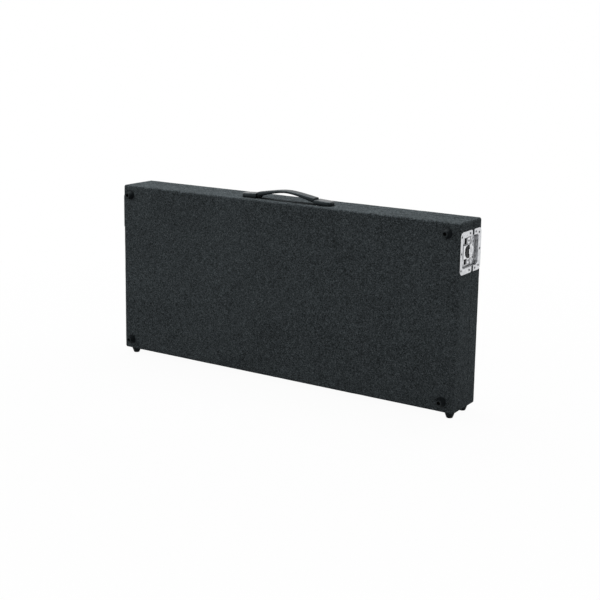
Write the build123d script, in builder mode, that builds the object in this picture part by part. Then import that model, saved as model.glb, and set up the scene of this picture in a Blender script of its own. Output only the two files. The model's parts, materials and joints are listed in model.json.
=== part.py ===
from build123d import *
import os

# Carpet-covered pedalboard with a lift-off lid, standing on its long edge with the handle up.
# The tray (the pedalboard itself) faces -Y with its rubber feet; the lid closes it from +Y.
# X runs along the case, Y through its depth, Z up. The origin lies on the floor, under the
# middle of the whole assembly. All sizes are millimetres.

# ---------------------------------------------------------------- driving dimensions
case_length = 1040.0        # over the carpet, along X
case_height = 470.0         # over the carpet, along Z
base_depth = 74.0           # tray, from its underside to its rim
lid_depth = 45.6
seam_clearance = 0.4        # between the two carpet rims
edge_radius = 6.0           # outer edges of the carpet
rim_radius = 2.0            # where the carpet turns over the rim
carpet_thickness = 3.0
board_thickness = 9.0       # plywood walls and panels
fit = 0.05                  # play round a fastener's shank
pilot_clearance = 1.0       # a screw hole runs this far past the screw's tip

foot_height = 14.5
foot_base_radius = 13.0
foot_tip_radius = 7.6
foot_flange = 1.5           # straight rim at the foot's seat
foot_tip_fillet = 1.2
foot_pocket_radius = 4.6
foot_pocket_depth = 9.0
face_foot_inset_left = 26.0     # from the left end
face_foot_inset_right = 34.0    # from the right end
face_foot_inset_z = 27.0        # from the long edges
edge_foot_inset_left = 27.0
edge_foot_inset_right = 19.0
base_edge_foot_y = 19.0         # from the tray's underside
lid_edge_foot_y = 16.0          # from the lid's rim

screw_radius = 2.0
screw_head_radius = 4.0     # countersunk deck screws
screw_bite = 7.5            # how far a foot screw runs into the board
pan_head_radius = 3.3       # foot screws, head and the washer flange formed under it
pan_head_height = 2.2
washer_radius = 4.4
washer_thickness = 1.0

deck_rise = 16.0            # height of the cleats, the cable space under the deck
deck_gap = 2.0              # between the deck and the walls
cleat_width = 18.0
batten_width = 30.0
batten_spacing = 340.0
slot_length = 170.0
slot_width = 28.0
slot_rows = 2
slot_columns = 3
slot_row_spacing = 190.0
deck_screw_length = 20.0
deck_screw_inset = 36.0     # outer deck screws, from the end boards

strip_thickness = 6.0       # locating strips inside the tray's rim
strip_above = 8.0           # tongue that enters the lid
strip_play = 1.0            # tongue to lid wall
strip_chamfer = 2.0
foam_thickness = 6.0
foam_gap = 3.0              # between the foam and the lid's walls

latch_drop = 75.0           # from the case's top edge to the latch's middle
dish_front = 3.0            # flange edge, from the tray's underside
dish_back = 116.0           # opposite flange edge
dish_height = 104.0
dish_corner = 12.0
pan_front = 13.5            # recess edges, measured the same way
pan_back = 100.0
pan_height = 75.0
pan_corner = 7.0
dish_depth = 8.0            # carpet surface to the recess floor
dish_draft = 8.0            # slope of the recess walls, degrees
sheet = 1.2                 # dish metal
dish_seam_gap = 1.2         # each half stops this far from its rim
dish_flange_setback = 8.0   # the tray half's flange stops this far from the rim
base_seam_corner = 6.0
lid_seam_corner = 1.5
pan_clearance = 0.8         # round the recess in board and carpet
window_length = 12.0        # openings in the recess floor beside the mechanism
window_height = 15.0
window_y = 48.0
window_rise = 25.0
window_corner = 2.5
dish_screw_length = 9.0
screw_edge = 4.8            # flange edge to its end screws

latch_y = 52.0              # rotor axis, from the tray's underside
plate_front = 26.0          # raised housing over the hook
plate_back = 72.0
plate_height = 33.0
plate_thickness = 1.0
plate_corner = 2.0
ear_y = 63.5                # riveted ears at the housing's foot
ear_length = 15.0
ear_reach = 15.5
ear_corner = 3.0
hook_width = 22.0
hook_thickness = 1.3
hook_tail = 36.0            # inner end, from the tray's underside
hook_tip = 86.0             # outer end
hook_play = 0.2             # hook to housing
claw_length = 1.6
claw_drop = 0.7
claw_width = 12.0
keeper_lift = 0.3           # claw over the keeper's lip
keeper_y = 87.5
keeper_width = 20.0
keeper_height = 54.0
keeper_thickness = 1.0
keeper_nose = 5.0           # half width of the keeper's blunt ends
lip_height = 1.3
lip_length = 26.0
lip_width = 1.6
rotor_radius = 16.0
rotor_thickness = 1.0
stem_radius = 6.0
stem_play = 0.08
crank = 3.0                 # eccentric pin, from the rotor axis
crank_radius = 1.8
crank_reach = 0.6           # pin past the hook's underside
crank_slack = 0.63          # play the straight-line hook travel needs
wing_reach = 18.0
wing_span = 32.0
wing_neck = 2.4             # the wing widens this far from its hinge line
wing_corner = 13.0
wing_root_corner = 1.0
wing_thickness = 1.1
wing_barrel = 1.05
wing_barrel_length = 13.2
wing_pin_radius = 0.55
hinge_play = 0.05           # wing barrel round its pin
lug_thickness = 2.4
lug_radius = 1.3
lug_play = 0.1
rivet_radius = 1.5
rivet_head_radius = 2.6
rivet_head_height = 0.9
rivet_tail = 0.8            # past the back of the sheet
keeper_rivet_spacing = 39.0

handle_span = 276.0         # over both end caps
handle_offset = 8.0         # the handle's middle, to the right of the case's middle
cap_length = 48.0
cap_width = 34.0
cap_wall = 2.4
cap_end_height = 10.5
cap_mouth_height = 13.2
cap_corner = 13.0
cap_fillet = 2.5
cap_boss_floor = 2.2        # under the bolt's head
cap_boss_wall = 2.0         # round the bolt's head
mouth_gap = 1.5             # between the grip's end and the cap
strap_width = 27.0
strap_thickness = 7.3       # at its middle
strap_swell = 5.0           # thicker by this at the grip's ends
strap_end_lean = 3.5        # the grip's end face is set back this far at its underside
strap_lug_thickness = 5.0
strap_lug_lift = 0.5        # lug to carpet
strap_lug_end = 9.0         # past the bolt
strap_root = 6.0            # the lug starts this far inside the grip
strap_root_low = 5.5        # lug's underside there, above the case
strap_root_high = 10.5
strap_taper = 10.0          # from the cap's mouth to where the lug lies flat
strap_slot = 3.5            # half the length of the slot that lets the strap slide
strap_rise = 28.3           # top of the strap above the case
strap_fillet = 2.6
core_thickness = 1.0
core_width = 15.0
core_play = 0.15
core_setback = 4.0          # the core stops this far short of the caps
bolt_inset = 20.0           # from the cap's outer end
bolt_radius = 2.5
bolt_head_radius = 4.6
bolt_head_height = 2.6
tee_nut_radius = 8.0
tee_nut_clearance = 1.0     # between the nut's flange and the deck cleat
tee_nut_strip_gap = 5.0     # between the nut's flange and the locating strip
tee_nut_flange = 1.4
tee_nut_barrel = 3.6
tee_nut_height = 8.0
bolt_end = 1.7              # past the rail's inner face

# ---------------------------------------------------------------- levels and planes
case_depth = base_depth + seam_clearance + lid_depth
front = (foot_height - case_depth) / 2
back = front + case_depth
base_rim = front + base_depth
lid_rim = base_rim + seam_clearance
bottom = foot_height
top = bottom + case_height
middle = (bottom + top) / 2
end = case_length / 2

wall = carpet_thickness + board_thickness
inner_length = case_length - 2 * wall
inner_height = case_height - 2 * wall
base_board_rim = base_rim - carpet_thickness
lid_board_rim = lid_rim + carpet_thickness
base_floor = front + wall
lid_floor = back - wall
deck_level = base_floor + deck_rise
deck_top = deck_level + board_thickness

latch_z = top - latch_drop
rotor_y = front + latch_y
face_foot_x = (-end + face_foot_inset_left, end - face_foot_inset_right)
face_foot_z = (bottom + face_foot_inset_z, top - face_foot_inset_z)
edge_foot_x = (-end + edge_foot_inset_left, end - edge_foot_inset_right)
base_foot_y = front + base_edge_foot_y
lid_foot_y = lid_rim + lid_edge_foot_y
handle_y = deck_level + tee_nut_radius + tee_nut_clearance
strip_below = base_rim - handle_y - tee_nut_radius - tee_nut_strip_gap    # glued length below the rim
bolt_reach = handle_span / 2 - bolt_inset       # distances from the handle's middle
mouth_reach = handle_span / 2 - cap_length
grip_reach = mouth_reach - mouth_gap
bolt_x = (handle_offset - bolt_reach, handle_offset + bolt_reach)

os.makedirs("parts", exist_ok=True)


def level(y):
    """Plane square to Y at the given place, its normal towards the tray's feet."""
    return Plane.XZ.offset(-y)


def save(piece, name):
    piece.part.label = name
    export_step(piece.part, f"parts/{name}.step")


def save_pair(piece, name, middle_x=0.0):
    """Writes the right-hand piece and its mirror image on the other side of middle_x."""
    with BuildPart() as twin:
        mirror(piece.part, about=Plane.YZ.offset(middle_x))
    save(piece, f"{name}_right")
    save(twin, f"{name}_left")


def save_copies(piece, places, name):
    """The same small piece at each place, as separate solids of one node."""
    with BuildPart() as group:
        with Locations(*places):
            add(piece.part)
    save(group, name)


def seats_on_face(points):
    """Places whose local Z points out of the tray's underside, at (x, z) points."""
    return [Plane((x, front, z), x_dir=(1, 0, 0), z_dir=(0, -1, 0)) for x, z in points]


def seats_on_edge(points):
    """Places whose local Z points down out of the long edge, at (x, y) points."""
    return [Plane((x, y, bottom), x_dir=(1, 0, 0), z_dir=(0, 0, -1)) for x, y in points]


face_seats = seats_on_face([(x, z) for z in face_foot_z for x in face_foot_x])
base_edge_seats = seats_on_edge([(x, base_foot_y) for x in edge_foot_x])
lid_edge_seats = seats_on_edge([(x, lid_foot_y) for x in edge_foot_x])


# ---------------------------------------------------------------- case shells
def half_block(face, rim, inset):
    """One half of the closed case as a solid block, drawn in by inset, its outer edges round."""
    radius = edge_radius - inset
    with BuildPart() as block:
        with BuildSketch(level(rim)):
            with Locations((0, middle)):
                RectangleRounded(case_length - 2 * inset, case_height - 2 * inset, radius)
        extrude(amount=rim - face)
        outer = block.faces().sort_by(Axis.Y)[0 if face < rim else -1]
        fillet(outer.edges(), radius)
    return block.part


def notch(depth_from, depth_to):
    """Opening for a latch recess through both end walls, between two Y levels."""
    width = depth_to - depth_from
    with BuildPart() as cutter:
        with BuildSketch(Plane.YZ.offset(end - 2 * wall)):
            with Locations(((depth_from + depth_to) / 2, latch_z)):
                Rectangle(width, pan_height + 2 * (sheet + pan_clearance))
        extrude(amount=4 * wall)
        mirror(about=Plane.YZ)
    return cutter.part


base_notch = notch(front + pan_front - sheet - pan_clearance, base_rim + wall)
lid_notch = notch(lid_rim - wall, front + pan_back + sheet + pan_clearance)

base_core = half_block(front + carpet_thickness, base_board_rim, carpet_thickness)
lid_core = half_block(back - carpet_thickness, lid_board_rim, carpet_thickness)


def shank_holes(seats, radius, depth):
    """Pilot holes that run into the case from each seat."""
    with BuildPart() as holes:
        with Locations(*seats):
            Cylinder(radius, 2 * depth)
    return holes.part


foot_pilots = screw_radius + fit
pilot_depth = carpet_thickness + screw_bite + pilot_clearance
base_pilots = shank_holes(face_seats + base_edge_seats, foot_pilots, pilot_depth)
lid_pilots = shank_holes(lid_edge_seats, foot_pilots, pilot_depth)


def end_seats(offsets, height):
    """Places on both end walls, local Z outwards, at (y from the front, z) offsets."""
    return [
        Plane(
            (side * (end + height), front + y, latch_z + z),
            x_dir=(0, side, 0),
            z_dir=(side, 0, 0),
        )
        for side in (-1, 1)
        for y, z in offsets
    ]


flange_middle = (dish_height - pan_height) / 4      # centre line of the flange's long bands
screw_row = pan_height / 2 + flange_middle
corner_row = screw_row - dish_corner / 3
base_inner_screw = base_depth - dish_flange_setback - dish_corner
lid_inner_screw = base_depth + seam_clearance + dish_seam_gap + 2 * screw_edge
base_screw_points = [
    (dish_front + screw_edge, -corner_row),
    (dish_front + screw_edge, 0),
    (dish_front + screw_edge, corner_row),
    (base_inner_screw, -screw_row),
    (base_inner_screw, screw_row),
]
lid_screw_points = [
    (dish_back - dish_corner, -corner_row),
    (dish_back - (dish_back - pan_back) / 2, 0),
    (dish_back - dish_corner, corner_row),
    (lid_inner_screw, -screw_row),
    (lid_inner_screw, screw_row),
]
pilot_radius = rivet_radius + fit
base_dish_pilots = shank_holes(end_seats(base_screw_points, 0), pilot_radius, dish_screw_length)
lid_dish_pilots = shank_holes(end_seats(lid_screw_points, 0), pilot_radius, dish_screw_length)


def handle_holes(radius):
    """Bolt holes down through the case's top edge."""
    with BuildPart() as holes:
        with Locations(*[(x, handle_y, top) for x in bolt_x]):
            Cylinder(radius, 4 * wall)
    return holes.part


# ---------------------------------------------------------------- plywood boards
def rail(core, y_from, y_to, z_from, z_to):
    """Board along the whole case, cut to the core's rounded outline."""
    with BuildPart() as board:
        with BuildSketch(level(y_to)):
            with Locations((0, (z_from + z_to) / 2)):
                Rectangle(case_length, z_to - z_from)
        extrude(amount=y_to - y_from)
        add(core, mode=Mode.INTERSECT)
    return board.part


def end_board(core, y_from, y_to, opening):
    """Board at the right-hand end, between the rails, with its latch opening."""
    with BuildPart() as board:
        with BuildSketch(Plane.YZ.offset(end - wall)):
            with Locations(((y_from + y_to) / 2, middle)):
                Rectangle(y_to - y_from, inner_height)
        extrude(amount=board_thickness)
        add(core, mode=Mode.INTERSECT)
        add(opening, mode=Mode.SUBTRACT)
    return board.part


def drilled(blank, *holes):
    """A board or cover with its holes cut."""
    with BuildPart() as piece:
        add(blank)
        for hole in holes:
            add(hole, mode=Mode.SUBTRACT)
    return piece


base_front = front + carpet_thickness
lid_back = back - carpet_thickness
tee_nut_holes = handle_holes(tee_nut_barrel + fit)
handle_bolt_holes = handle_holes(bolt_radius + fit)

base_top = rail(base_core, base_front, base_board_rim, top - wall, top)
save(drilled(base_top, tee_nut_holes), "base_top_rail")
base_low = rail(base_core, base_front, base_board_rim, bottom, bottom + wall)
save(drilled(base_low, base_pilots), "base_bottom_rail")
lid_top = rail(lid_core, lid_board_rim, lid_back, top - wall, top)
save(drilled(lid_top), "lid_top_rail")
lid_low = rail(lid_core, lid_board_rim, lid_back, bottom, bottom + wall)
save(drilled(lid_low, lid_pilots), "lid_bottom_rail")

base_end = end_board(base_core, base_front, base_board_rim, base_notch)
save_pair(drilled(base_end, base_dish_pilots), "base_end_board")
lid_end = end_board(lid_core, lid_board_rim, lid_back, lid_notch)
save_pair(drilled(lid_end, lid_dish_pilots), "lid_end_board")

with BuildPart() as base_panel:
    with BuildSketch(level(base_floor)):
        with Locations((0, middle)):
            Rectangle(inner_length, inner_height)
    extrude(amount=board_thickness)
    add(base_pilots, mode=Mode.SUBTRACT)
save(base_panel, "base_floor_panel")

with BuildPart() as lid_panel:
    with BuildSketch(level(lid_floor)):
        with Locations((0, middle)):
            Rectangle(inner_length, inner_height)
    extrude(amount=-board_thickness)
save(lid_panel, "lid_panel")


# ---------------------------------------------------------------- carpet covers
def carpet(face, rim, board_rim, core):
    """Carpet glued over one half: outside, and turned over the rim of the boards."""
    block = half_block(face, rim, 0)
    with BuildPart() as cover:
        add(block)
        fillet(cover.faces().sort_by(Axis.Y)[-1 if face < rim else 0].edges(), rim_radius)
        add(core, mode=Mode.SUBTRACT)
        with BuildSketch(level(board_rim)):
            with Locations((0, middle)):
                Rectangle(inner_length, inner_height)
        extrude(amount=board_rim - rim, mode=Mode.SUBTRACT)
    return cover.part


base_cover = carpet(front, base_rim, base_board_rim, base_core)
base_cuts = (base_notch, base_pilots, base_dish_pilots, handle_bolt_holes)
save(drilled(base_cover, *base_cuts), "base_carpet")
lid_cover = carpet(back, lid_rim, lid_board_rim, lid_core)
save(drilled(lid_cover, lid_notch, lid_pilots, lid_dish_pilots), "lid_carpet")

# ---------------------------------------------------------------- deck inside the tray
cleat_z = inner_height / 2 - cleat_width / 2
deck_screw_x = inner_length / 2 - deck_screw_inset
deck_seats = [
    Plane((x, deck_top, middle + z), x_dir=(1, 0, 0), z_dir=(0, 1, 0))
    for x in (-deck_screw_x, -batten_spacing / 2, batten_spacing / 2, deck_screw_x)
    for z in (-cleat_z, cleat_z)
]
deck_pilots = shank_holes(deck_seats, screw_radius + fit, deck_screw_length + pilot_clearance)

for name, z in (("deck_cleat_top", middle + cleat_z), ("deck_cleat_bottom", middle - cleat_z)):
    with BuildPart() as cleat:
        with BuildSketch(level(deck_level)):
            with Locations((0, z)):
                Rectangle(inner_length, cleat_width)
        extrude(amount=deck_rise)
        add(deck_pilots, mode=Mode.SUBTRACT)
    save(cleat, name)

with BuildPart() as battens:
    with BuildSketch(level(deck_level)):
        with Locations((-batten_spacing / 2, middle), (batten_spacing / 2, middle)):
            Rectangle(batten_width, inner_height - 2 * cleat_width)
    extrude(amount=deck_rise)
save(battens, "deck_battens")

slot_pitch = inner_length / slot_columns


def deck_layer(y_from, thickness):
    """Deck outline with its cable slots, thickness measured towards the rim."""
    with BuildPart() as layer:
        with BuildSketch(level(y_from)):
            with Locations((0, middle)):
                Rectangle(inner_length - 2 * deck_gap, inner_height - 2 * deck_gap)
                with GridLocations(slot_pitch, slot_row_spacing, slot_columns, slot_rows):
                    SlotOverall(slot_length, slot_width, mode=Mode.SUBTRACT)
        extrude(amount=-thickness)
    return layer


deck_blank = deck_layer(deck_level, board_thickness)
with BuildPart() as deck_panel:
    add(deck_blank.part)
    with Locations(*deck_seats):
        CounterSinkHole(screw_radius + fit, screw_head_radius + fit, depth=board_thickness)
save(deck_panel, "deck_panel")
save(deck_layer(deck_top, carpet_thickness), "deck_carpet")

# One countersunk deck screw, its head's top face at the origin, pointing down local -Z.
with BuildPart() as deck_screw:
    with BuildSketch(Plane.XZ):
        with BuildLine():
            Polyline(
                (0, 0),
                (screw_head_radius, 0),
                (screw_radius, -(screw_head_radius - screw_radius)),
                (screw_radius, -(deck_screw_length - screw_head_radius)),
                (0, -deck_screw_length),
                (0, 0),
            )
        make_face()
    revolve(axis=Axis.Z)
save_copies(deck_screw, deck_seats, "deck_screws")

# ---------------------------------------------------------------- locating strips
strip_y = (base_rim - strip_below, base_rim + strip_above)


def strip_profile(base_edge, inward):
    """Strip section: flush to the wall in the tray, stepped back and chamfered in the lid."""
    y_low, y_high = strip_y
    near = base_edge + inward * strip_play
    far = base_edge + inward * strip_thickness
    lead = inward * strip_chamfer
    Polyline(
        (y_low, base_edge),
        (base_board_rim, base_edge),
        (base_board_rim, near),
        (y_high - strip_chamfer, near),
        (y_high, near + lead),
        (y_high, far),
        (y_low, far),
        (y_low, base_edge),
    )


for name, edge, inward in (
    ("locating_strip_top", top - wall, -1),
    ("locating_strip_bottom", bottom + wall, 1),
):
    with BuildPart() as strip:
        with BuildSketch(Plane.YZ.offset(-(inner_length / 2 - strip_play))):
            with BuildLine():
                strip_profile(edge, inward)
            make_face()
        extrude(amount=inner_length - 2 * strip_play)
    save(strip, name)

# The end strips stop below the latch opening.
end_strip_low = bottom + wall + strip_thickness
end_strip_high = latch_z - pan_height / 2 - sheet - 2 * pan_clearance
with BuildPart() as end_strip:
    with BuildSketch(Plane.XY.offset(end_strip_low)):
        with BuildLine():
            low, high = strip_y
            outer = inner_length / 2
            near = outer - strip_play
            inner = outer - strip_thickness
            Polyline(
                (outer, low),
                (outer, base_board_rim),
                (near, base_board_rim),
                (near, high - strip_chamfer),
                (near - strip_chamfer, high),
                (inner, high),
                (inner, low),
                (outer, low),
            )
        make_face()
    extrude(amount=end_strip_high - end_strip_low)
save_pair(end_strip, "locating_strip")

with BuildPart() as foam:
    with BuildSketch(level(lid_floor)):
        with Locations((0, middle)):
            RectangleRounded(inner_length - 2 * foam_gap, inner_height - 2 * foam_gap, wall)
    extrude(amount=foam_thickness)
save(foam, "lid_foam")

# ---------------------------------------------------------------- feet
# One tapered rubber foot on its seat at the origin, standing along local +Z.
with BuildPart() as foot:
    with BuildSketch(Plane.XZ):
        with BuildLine():
            Polyline(
                (0, 0),
                (foot_base_radius, 0),
                (foot_base_radius, foot_flange),
                (foot_tip_radius, foot_height),
                (0, foot_height),
                (0, 0),
            )
        make_face()
    revolve(axis=Axis.Z)
    fillet(foot.faces().sort_by(Axis.Z)[-1].edges(), foot_tip_fillet)
    with Locations((0, 0, foot_height)):
        CounterBoreHole(foot_pilots, foot_pocket_radius, foot_pocket_depth, foot_height)

# One foot screw on the floor of its foot's pocket, head and washer flange in one piece.
pocket_floor = foot_height - foot_pocket_depth
head_seat = pocket_floor + washer_thickness
screw_tip = -(carpet_thickness + screw_bite)
with BuildPart() as foot_screw:
    with BuildSketch(Plane.XZ):
        with BuildLine():
            Polyline(
                (0, head_seat + pan_head_height),
                (0, screw_tip),
                (screw_radius, screw_tip + 2 * screw_radius),
                (screw_radius, pocket_floor),
                (washer_radius, pocket_floor),
                (washer_radius, head_seat),
                (pan_head_radius, head_seat),
            )
            TangentArc(
                (0, head_seat + pan_head_height),
                (pan_head_radius, head_seat),
                tangent=(1, 0),
            )
        make_face()
    revolve(axis=Axis.Z)

foot_names = [
    ("face_foot_bottom_left", face_seats[0]),
    ("face_foot_bottom_right", face_seats[1]),
    ("face_foot_top_left", face_seats[2]),
    ("face_foot_top_right", face_seats[3]),
    ("base_edge_foot_left", base_edge_seats[0]),
    ("base_edge_foot_right", base_edge_seats[1]),
    ("lid_edge_foot_left", lid_edge_seats[0]),
    ("lid_edge_foot_right", lid_edge_seats[1]),
]
for name, seat in foot_names:
    save_copies(foot, [seat], name)
save_copies(foot_screw, face_seats + base_edge_seats, "base_foot_screws")
save_copies(foot_screw, lid_edge_seats, "lid_foot_screws")

# ---------------------------------------------------------------- recessed butterfly latch
# Built at the right-hand end. Depths are measured outwards from the carpet surface at x = end.
dish_floor = -dish_depth
keeper_top = dish_floor + keeper_thickness
lip_top = keeper_top + lip_height
claw_bottom = lip_top + keeper_lift
hook_bottom = claw_bottom + claw_drop
hook_top = hook_bottom + hook_thickness
plate_bottom = hook_top + hook_play
plate_top = plate_bottom + plate_thickness
disc_bottom = plate_top + hook_play
disc_top = disc_bottom + rotor_thickness
hinge_level = disc_top + wing_barrel + hook_play / 2
stem_bottom = hook_top + hook_play / 2
crank_bottom = hook_bottom - crank_reach
claw_y = front + hook_tip - claw_length
lip_y = claw_y - lip_width - 2 * hook_play
base_dish_rim = base_rim - dish_seam_gap
lid_dish_rim = lid_rim + dish_seam_gap
pan_centre = (front + (pan_front + pan_back) / 2, latch_z)
pan_length = pan_back - pan_front


def depth(u):
    """Plane parallel to the right-hand end wall, u outside the carpet surface."""
    return Plane.YZ.offset(end + u)


def flange(y_from, y_to, near_corner, far_corner):
    """Flange plate between two Y levels, the corners at each end rounded alike."""
    with BuildPart() as plate:
        with BuildSketch(depth(0)) as outline:
            with Locations(((y_from + y_to) / 2, latch_z)):
                Rectangle(y_to - y_from, dish_height)
            fillet(outline.vertices().group_by(Axis.X)[0], near_corner)
            fillet(outline.vertices().group_by(Axis.X)[-1], far_corner)
        extrude(amount=sheet)
    return plate.part


def dish_half(plate, y_from, y_to):
    """One half of a latch dish: its flange and its share of the sloping recess."""
    with BuildPart() as half:
        with BuildSketch(depth(0)):
            with Locations(pan_centre):
                RectangleRounded(pan_length + 2 * sheet, pan_height + 2 * sheet, pan_corner + sheet)
        extrude(amount=-(dish_depth + sheet), taper=dish_draft)
        with BuildSketch(depth(0)):
            with Locations(((y_from + y_to) / 2, latch_z)):
                Rectangle(y_to - y_from, dish_height)
        extrude(amount=-2 * dish_depth, mode=Mode.INTERSECT)
        add(plate)
        with BuildSketch(depth(0)):
            with Locations(pan_centre):
                RectangleRounded(pan_length, pan_height, pan_corner)
        extrude(amount=sheet, mode=Mode.SUBTRACT)
        with BuildSketch(depth(0)):
            with Locations(pan_centre):
                RectangleRounded(pan_length, pan_height, pan_corner)
        extrude(amount=-dish_depth, taper=dish_draft, mode=Mode.SUBTRACT)
    return half.part


with BuildPart() as windows:
    with BuildSketch(depth(dish_floor)):
        with Locations(
            (front + window_y, latch_z - window_rise),
            (front + window_y, latch_z + window_rise),
        ):
            RectangleRounded(window_length, window_height, window_corner)
    extrude(amount=-2 * sheet)

ear_z = plate_height / 2 + ear_reach / 2
plate_rivet_seats = end_seats([(ear_y, -ear_z), (ear_y, ear_z)], dish_floor + plate_thickness)
keeper_rivet_z = keeper_rivet_spacing / 2
keeper_rivet_seats = end_seats([(keeper_y, -keeper_rivet_z), (keeper_y, keeper_rivet_z)], keeper_top)
rivet_length = plate_thickness + sheet + rivet_tail
plate_rivet_holes = shank_holes(plate_rivet_seats, pilot_radius, rivet_length)
keeper_rivet_holes = shank_holes(keeper_rivet_seats, pilot_radius, rivet_length)

base_flange = flange(front + dish_front, base_rim - dish_flange_setback, dish_corner, base_seam_corner)
base_dish = dish_half(base_flange, front, base_dish_rim)
base_dish_cuts = (windows.part, base_dish_pilots, plate_rivet_holes)
save_pair(drilled(base_dish, *base_dish_cuts), "base_dish")
lid_flange = flange(lid_dish_rim, front + dish_back, lid_seam_corner, dish_corner)
lid_dish = dish_half(lid_flange, lid_dish_rim, back)
save_pair(drilled(lid_dish, lid_dish_pilots, keeper_rivet_holes), "lid_dish")

# Raised housing that covers the hook, open towards the seam, with two riveted ears.
housing_centre = (front + (plate_front + plate_back) / 2, latch_z)
with BuildPart() as latch_plate:
    with BuildSketch(depth(dish_floor)):
        with Locations(housing_centre):
            RectangleRounded(plate_back - plate_front, plate_height, plate_corner)
    extrude(amount=plate_top - dish_floor)
    fillet(latch_plate.faces().sort_by(Axis.X)[-1].edges(), plate_thickness / 2)
    with BuildSketch(depth(dish_floor)):
        with Locations((front + ear_y, latch_z)):
            RectangleRounded(ear_length, plate_height + 2 * ear_reach, ear_corner)
    extrude(amount=plate_thickness)
    with BuildSketch(depth(dish_floor)):
        with Locations((housing_centre[0] + plate_thickness, latch_z)):
            Rectangle(plate_back - plate_front, plate_height - 2 * plate_thickness)
    extrude(amount=plate_bottom - dish_floor, mode=Mode.SUBTRACT)
    with BuildSketch(depth(plate_bottom)):
        with Locations((rotor_y, latch_z)):
            Circle(stem_radius + stem_play)
    extrude(amount=2 * plate_thickness, mode=Mode.SUBTRACT)
    add(plate_rivet_holes, mode=Mode.SUBTRACT)
save_pair(latch_plate, "latch_plate")

# Turning disc with its stem, the eccentric pin that drives the hook, and two hinge lugs.
lug_z = wing_barrel_length / 2 + lug_play + lug_thickness / 2
pin_length = wing_barrel_length + 2 * (lug_play + lug_thickness)
with BuildPart() as hinge_pin_space:
    with Locations((end + hinge_level, rotor_y, latch_z)):
        Cylinder(wing_pin_radius, 2 * pin_length)
with BuildPart() as rotor:
    with BuildSketch(depth(disc_bottom)):
        with Locations((rotor_y, latch_z)):
            Circle(rotor_radius)
    extrude(amount=rotor_thickness)
    with BuildSketch(depth(stem_bottom)):
        with Locations((rotor_y, latch_z)):
            Circle(stem_radius)
    extrude(amount=disc_bottom - stem_bottom)
    with BuildSketch(depth(crank_bottom)):
        with Locations((rotor_y - crank, latch_z)):
            Circle(crank_radius)
    extrude(amount=stem_bottom - crank_bottom)
    for side in (-1, 1):
        with BuildSketch(Plane.XY.offset(latch_z + side * lug_z - lug_thickness / 2)):
            with Locations((end + hinge_level, rotor_y)):
                Circle(lug_radius)
            with Locations((end + (disc_top + hinge_level) / 2, rotor_y)):
                Rectangle(hinge_level - disc_top, 2 * lug_radius)
        extrude(amount=lug_thickness)
    add(hinge_pin_space.part, mode=Mode.SUBTRACT)
save_pair(rotor, "latch_rotor")

with BuildPart() as wing_pin:
    with Locations((end + hinge_level, rotor_y, latch_z)):
        Cylinder(wing_pin_radius, pin_length)
save_pair(wing_pin, "wing_pin")

# Half-round butterfly wing folded flat towards the seam, hinged on its barrel.
with BuildPart() as wing:
    with BuildSketch(depth(hinge_level - wing_barrel)) as outline:
        with Locations((rotor_y + (wing_neck + wing_reach) / 2, latch_z)):
            Rectangle(wing_reach - wing_neck, wing_span)
        fillet(outline.vertices().group_by(Axis.X)[0], wing_root_corner)
        fillet(outline.vertices().group_by(Axis.X)[-1], wing_corner)
        with Locations((rotor_y + wing_neck, latch_z)):
            Rectangle(2 * wing_neck, wing_barrel_length)
    extrude(amount=wing_thickness)
    with Locations((end + hinge_level, rotor_y, latch_z)):
        Cylinder(wing_barrel, wing_barrel_length)
        Cylinder(wing_pin_radius + hinge_play, 2 * pin_length, mode=Mode.SUBTRACT)
save_pair(wing, "latch_wing")

# Sliding hook with a round nose, a cross slot for the eccentric pin and a claw at its tip.
slot_half = crank_radius + crank_slack + hook_play
with BuildPart() as hook:
    with BuildSketch(depth(hook_bottom)):
        with Locations((front + (hook_tail + hook_tip - hook_width / 2) / 2, latch_z)):
            Rectangle(hook_tip - hook_width / 2 - hook_tail, hook_width)
        with Locations((front + hook_tip - hook_width / 2, latch_z)):
            Circle(hook_width / 2)
        with Locations((rotor_y - crank, latch_z)):
            Rectangle(2 * slot_half, 2 * (crank + crank_radius + hook_play), mode=Mode.SUBTRACT)
    extrude(amount=hook_thickness)
    with BuildSketch(depth(claw_bottom)):
        with Locations((front + hook_tip - hook_width / 2, latch_z)):
            Circle(hook_width / 2)
        with Locations((front + hook_tip - claw_length / 2, latch_z)):
            Rectangle(claw_length, claw_width, mode=Mode.INTERSECT)
    extrude(amount=claw_drop)
save_pair(hook, "latch_hook")

# Keeper on the lid: a long lozenge with the lip the claw pulls against.
keeper_centre = front + keeper_y
with BuildPart() as keeper:
    with BuildSketch(depth(dish_floor)) as outline:
        with BuildLine():
            Polyline(
                (keeper_centre - keeper_width / 2, latch_z - lip_length / 2),
                (keeper_centre - keeper_width / 2, latch_z + lip_length / 2),
                (keeper_centre - keeper_nose, latch_z + keeper_height / 2),
                (keeper_centre + keeper_nose, latch_z + keeper_height / 2),
                (keeper_centre + keeper_width / 2, latch_z + lip_length / 2),
                (keeper_centre + keeper_width / 2, latch_z - lip_length / 2),
                (keeper_centre + keeper_nose, latch_z - keeper_height / 2),
                (keeper_centre - keeper_nose, latch_z - keeper_height / 2),
                close=True,
            )
        make_face()
        fillet(outline.vertices(), keeper_nose / 2)
    extrude(amount=keeper_thickness)
    with BuildSketch(depth(keeper_top)):
        with Locations((lip_y + lip_width / 2, latch_z)):
            Rectangle(lip_width, lip_length)
    extrude(amount=lip_height)
    add(keeper_rivet_holes, mode=Mode.SUBTRACT)
save_pair(keeper, "keeper")


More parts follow.
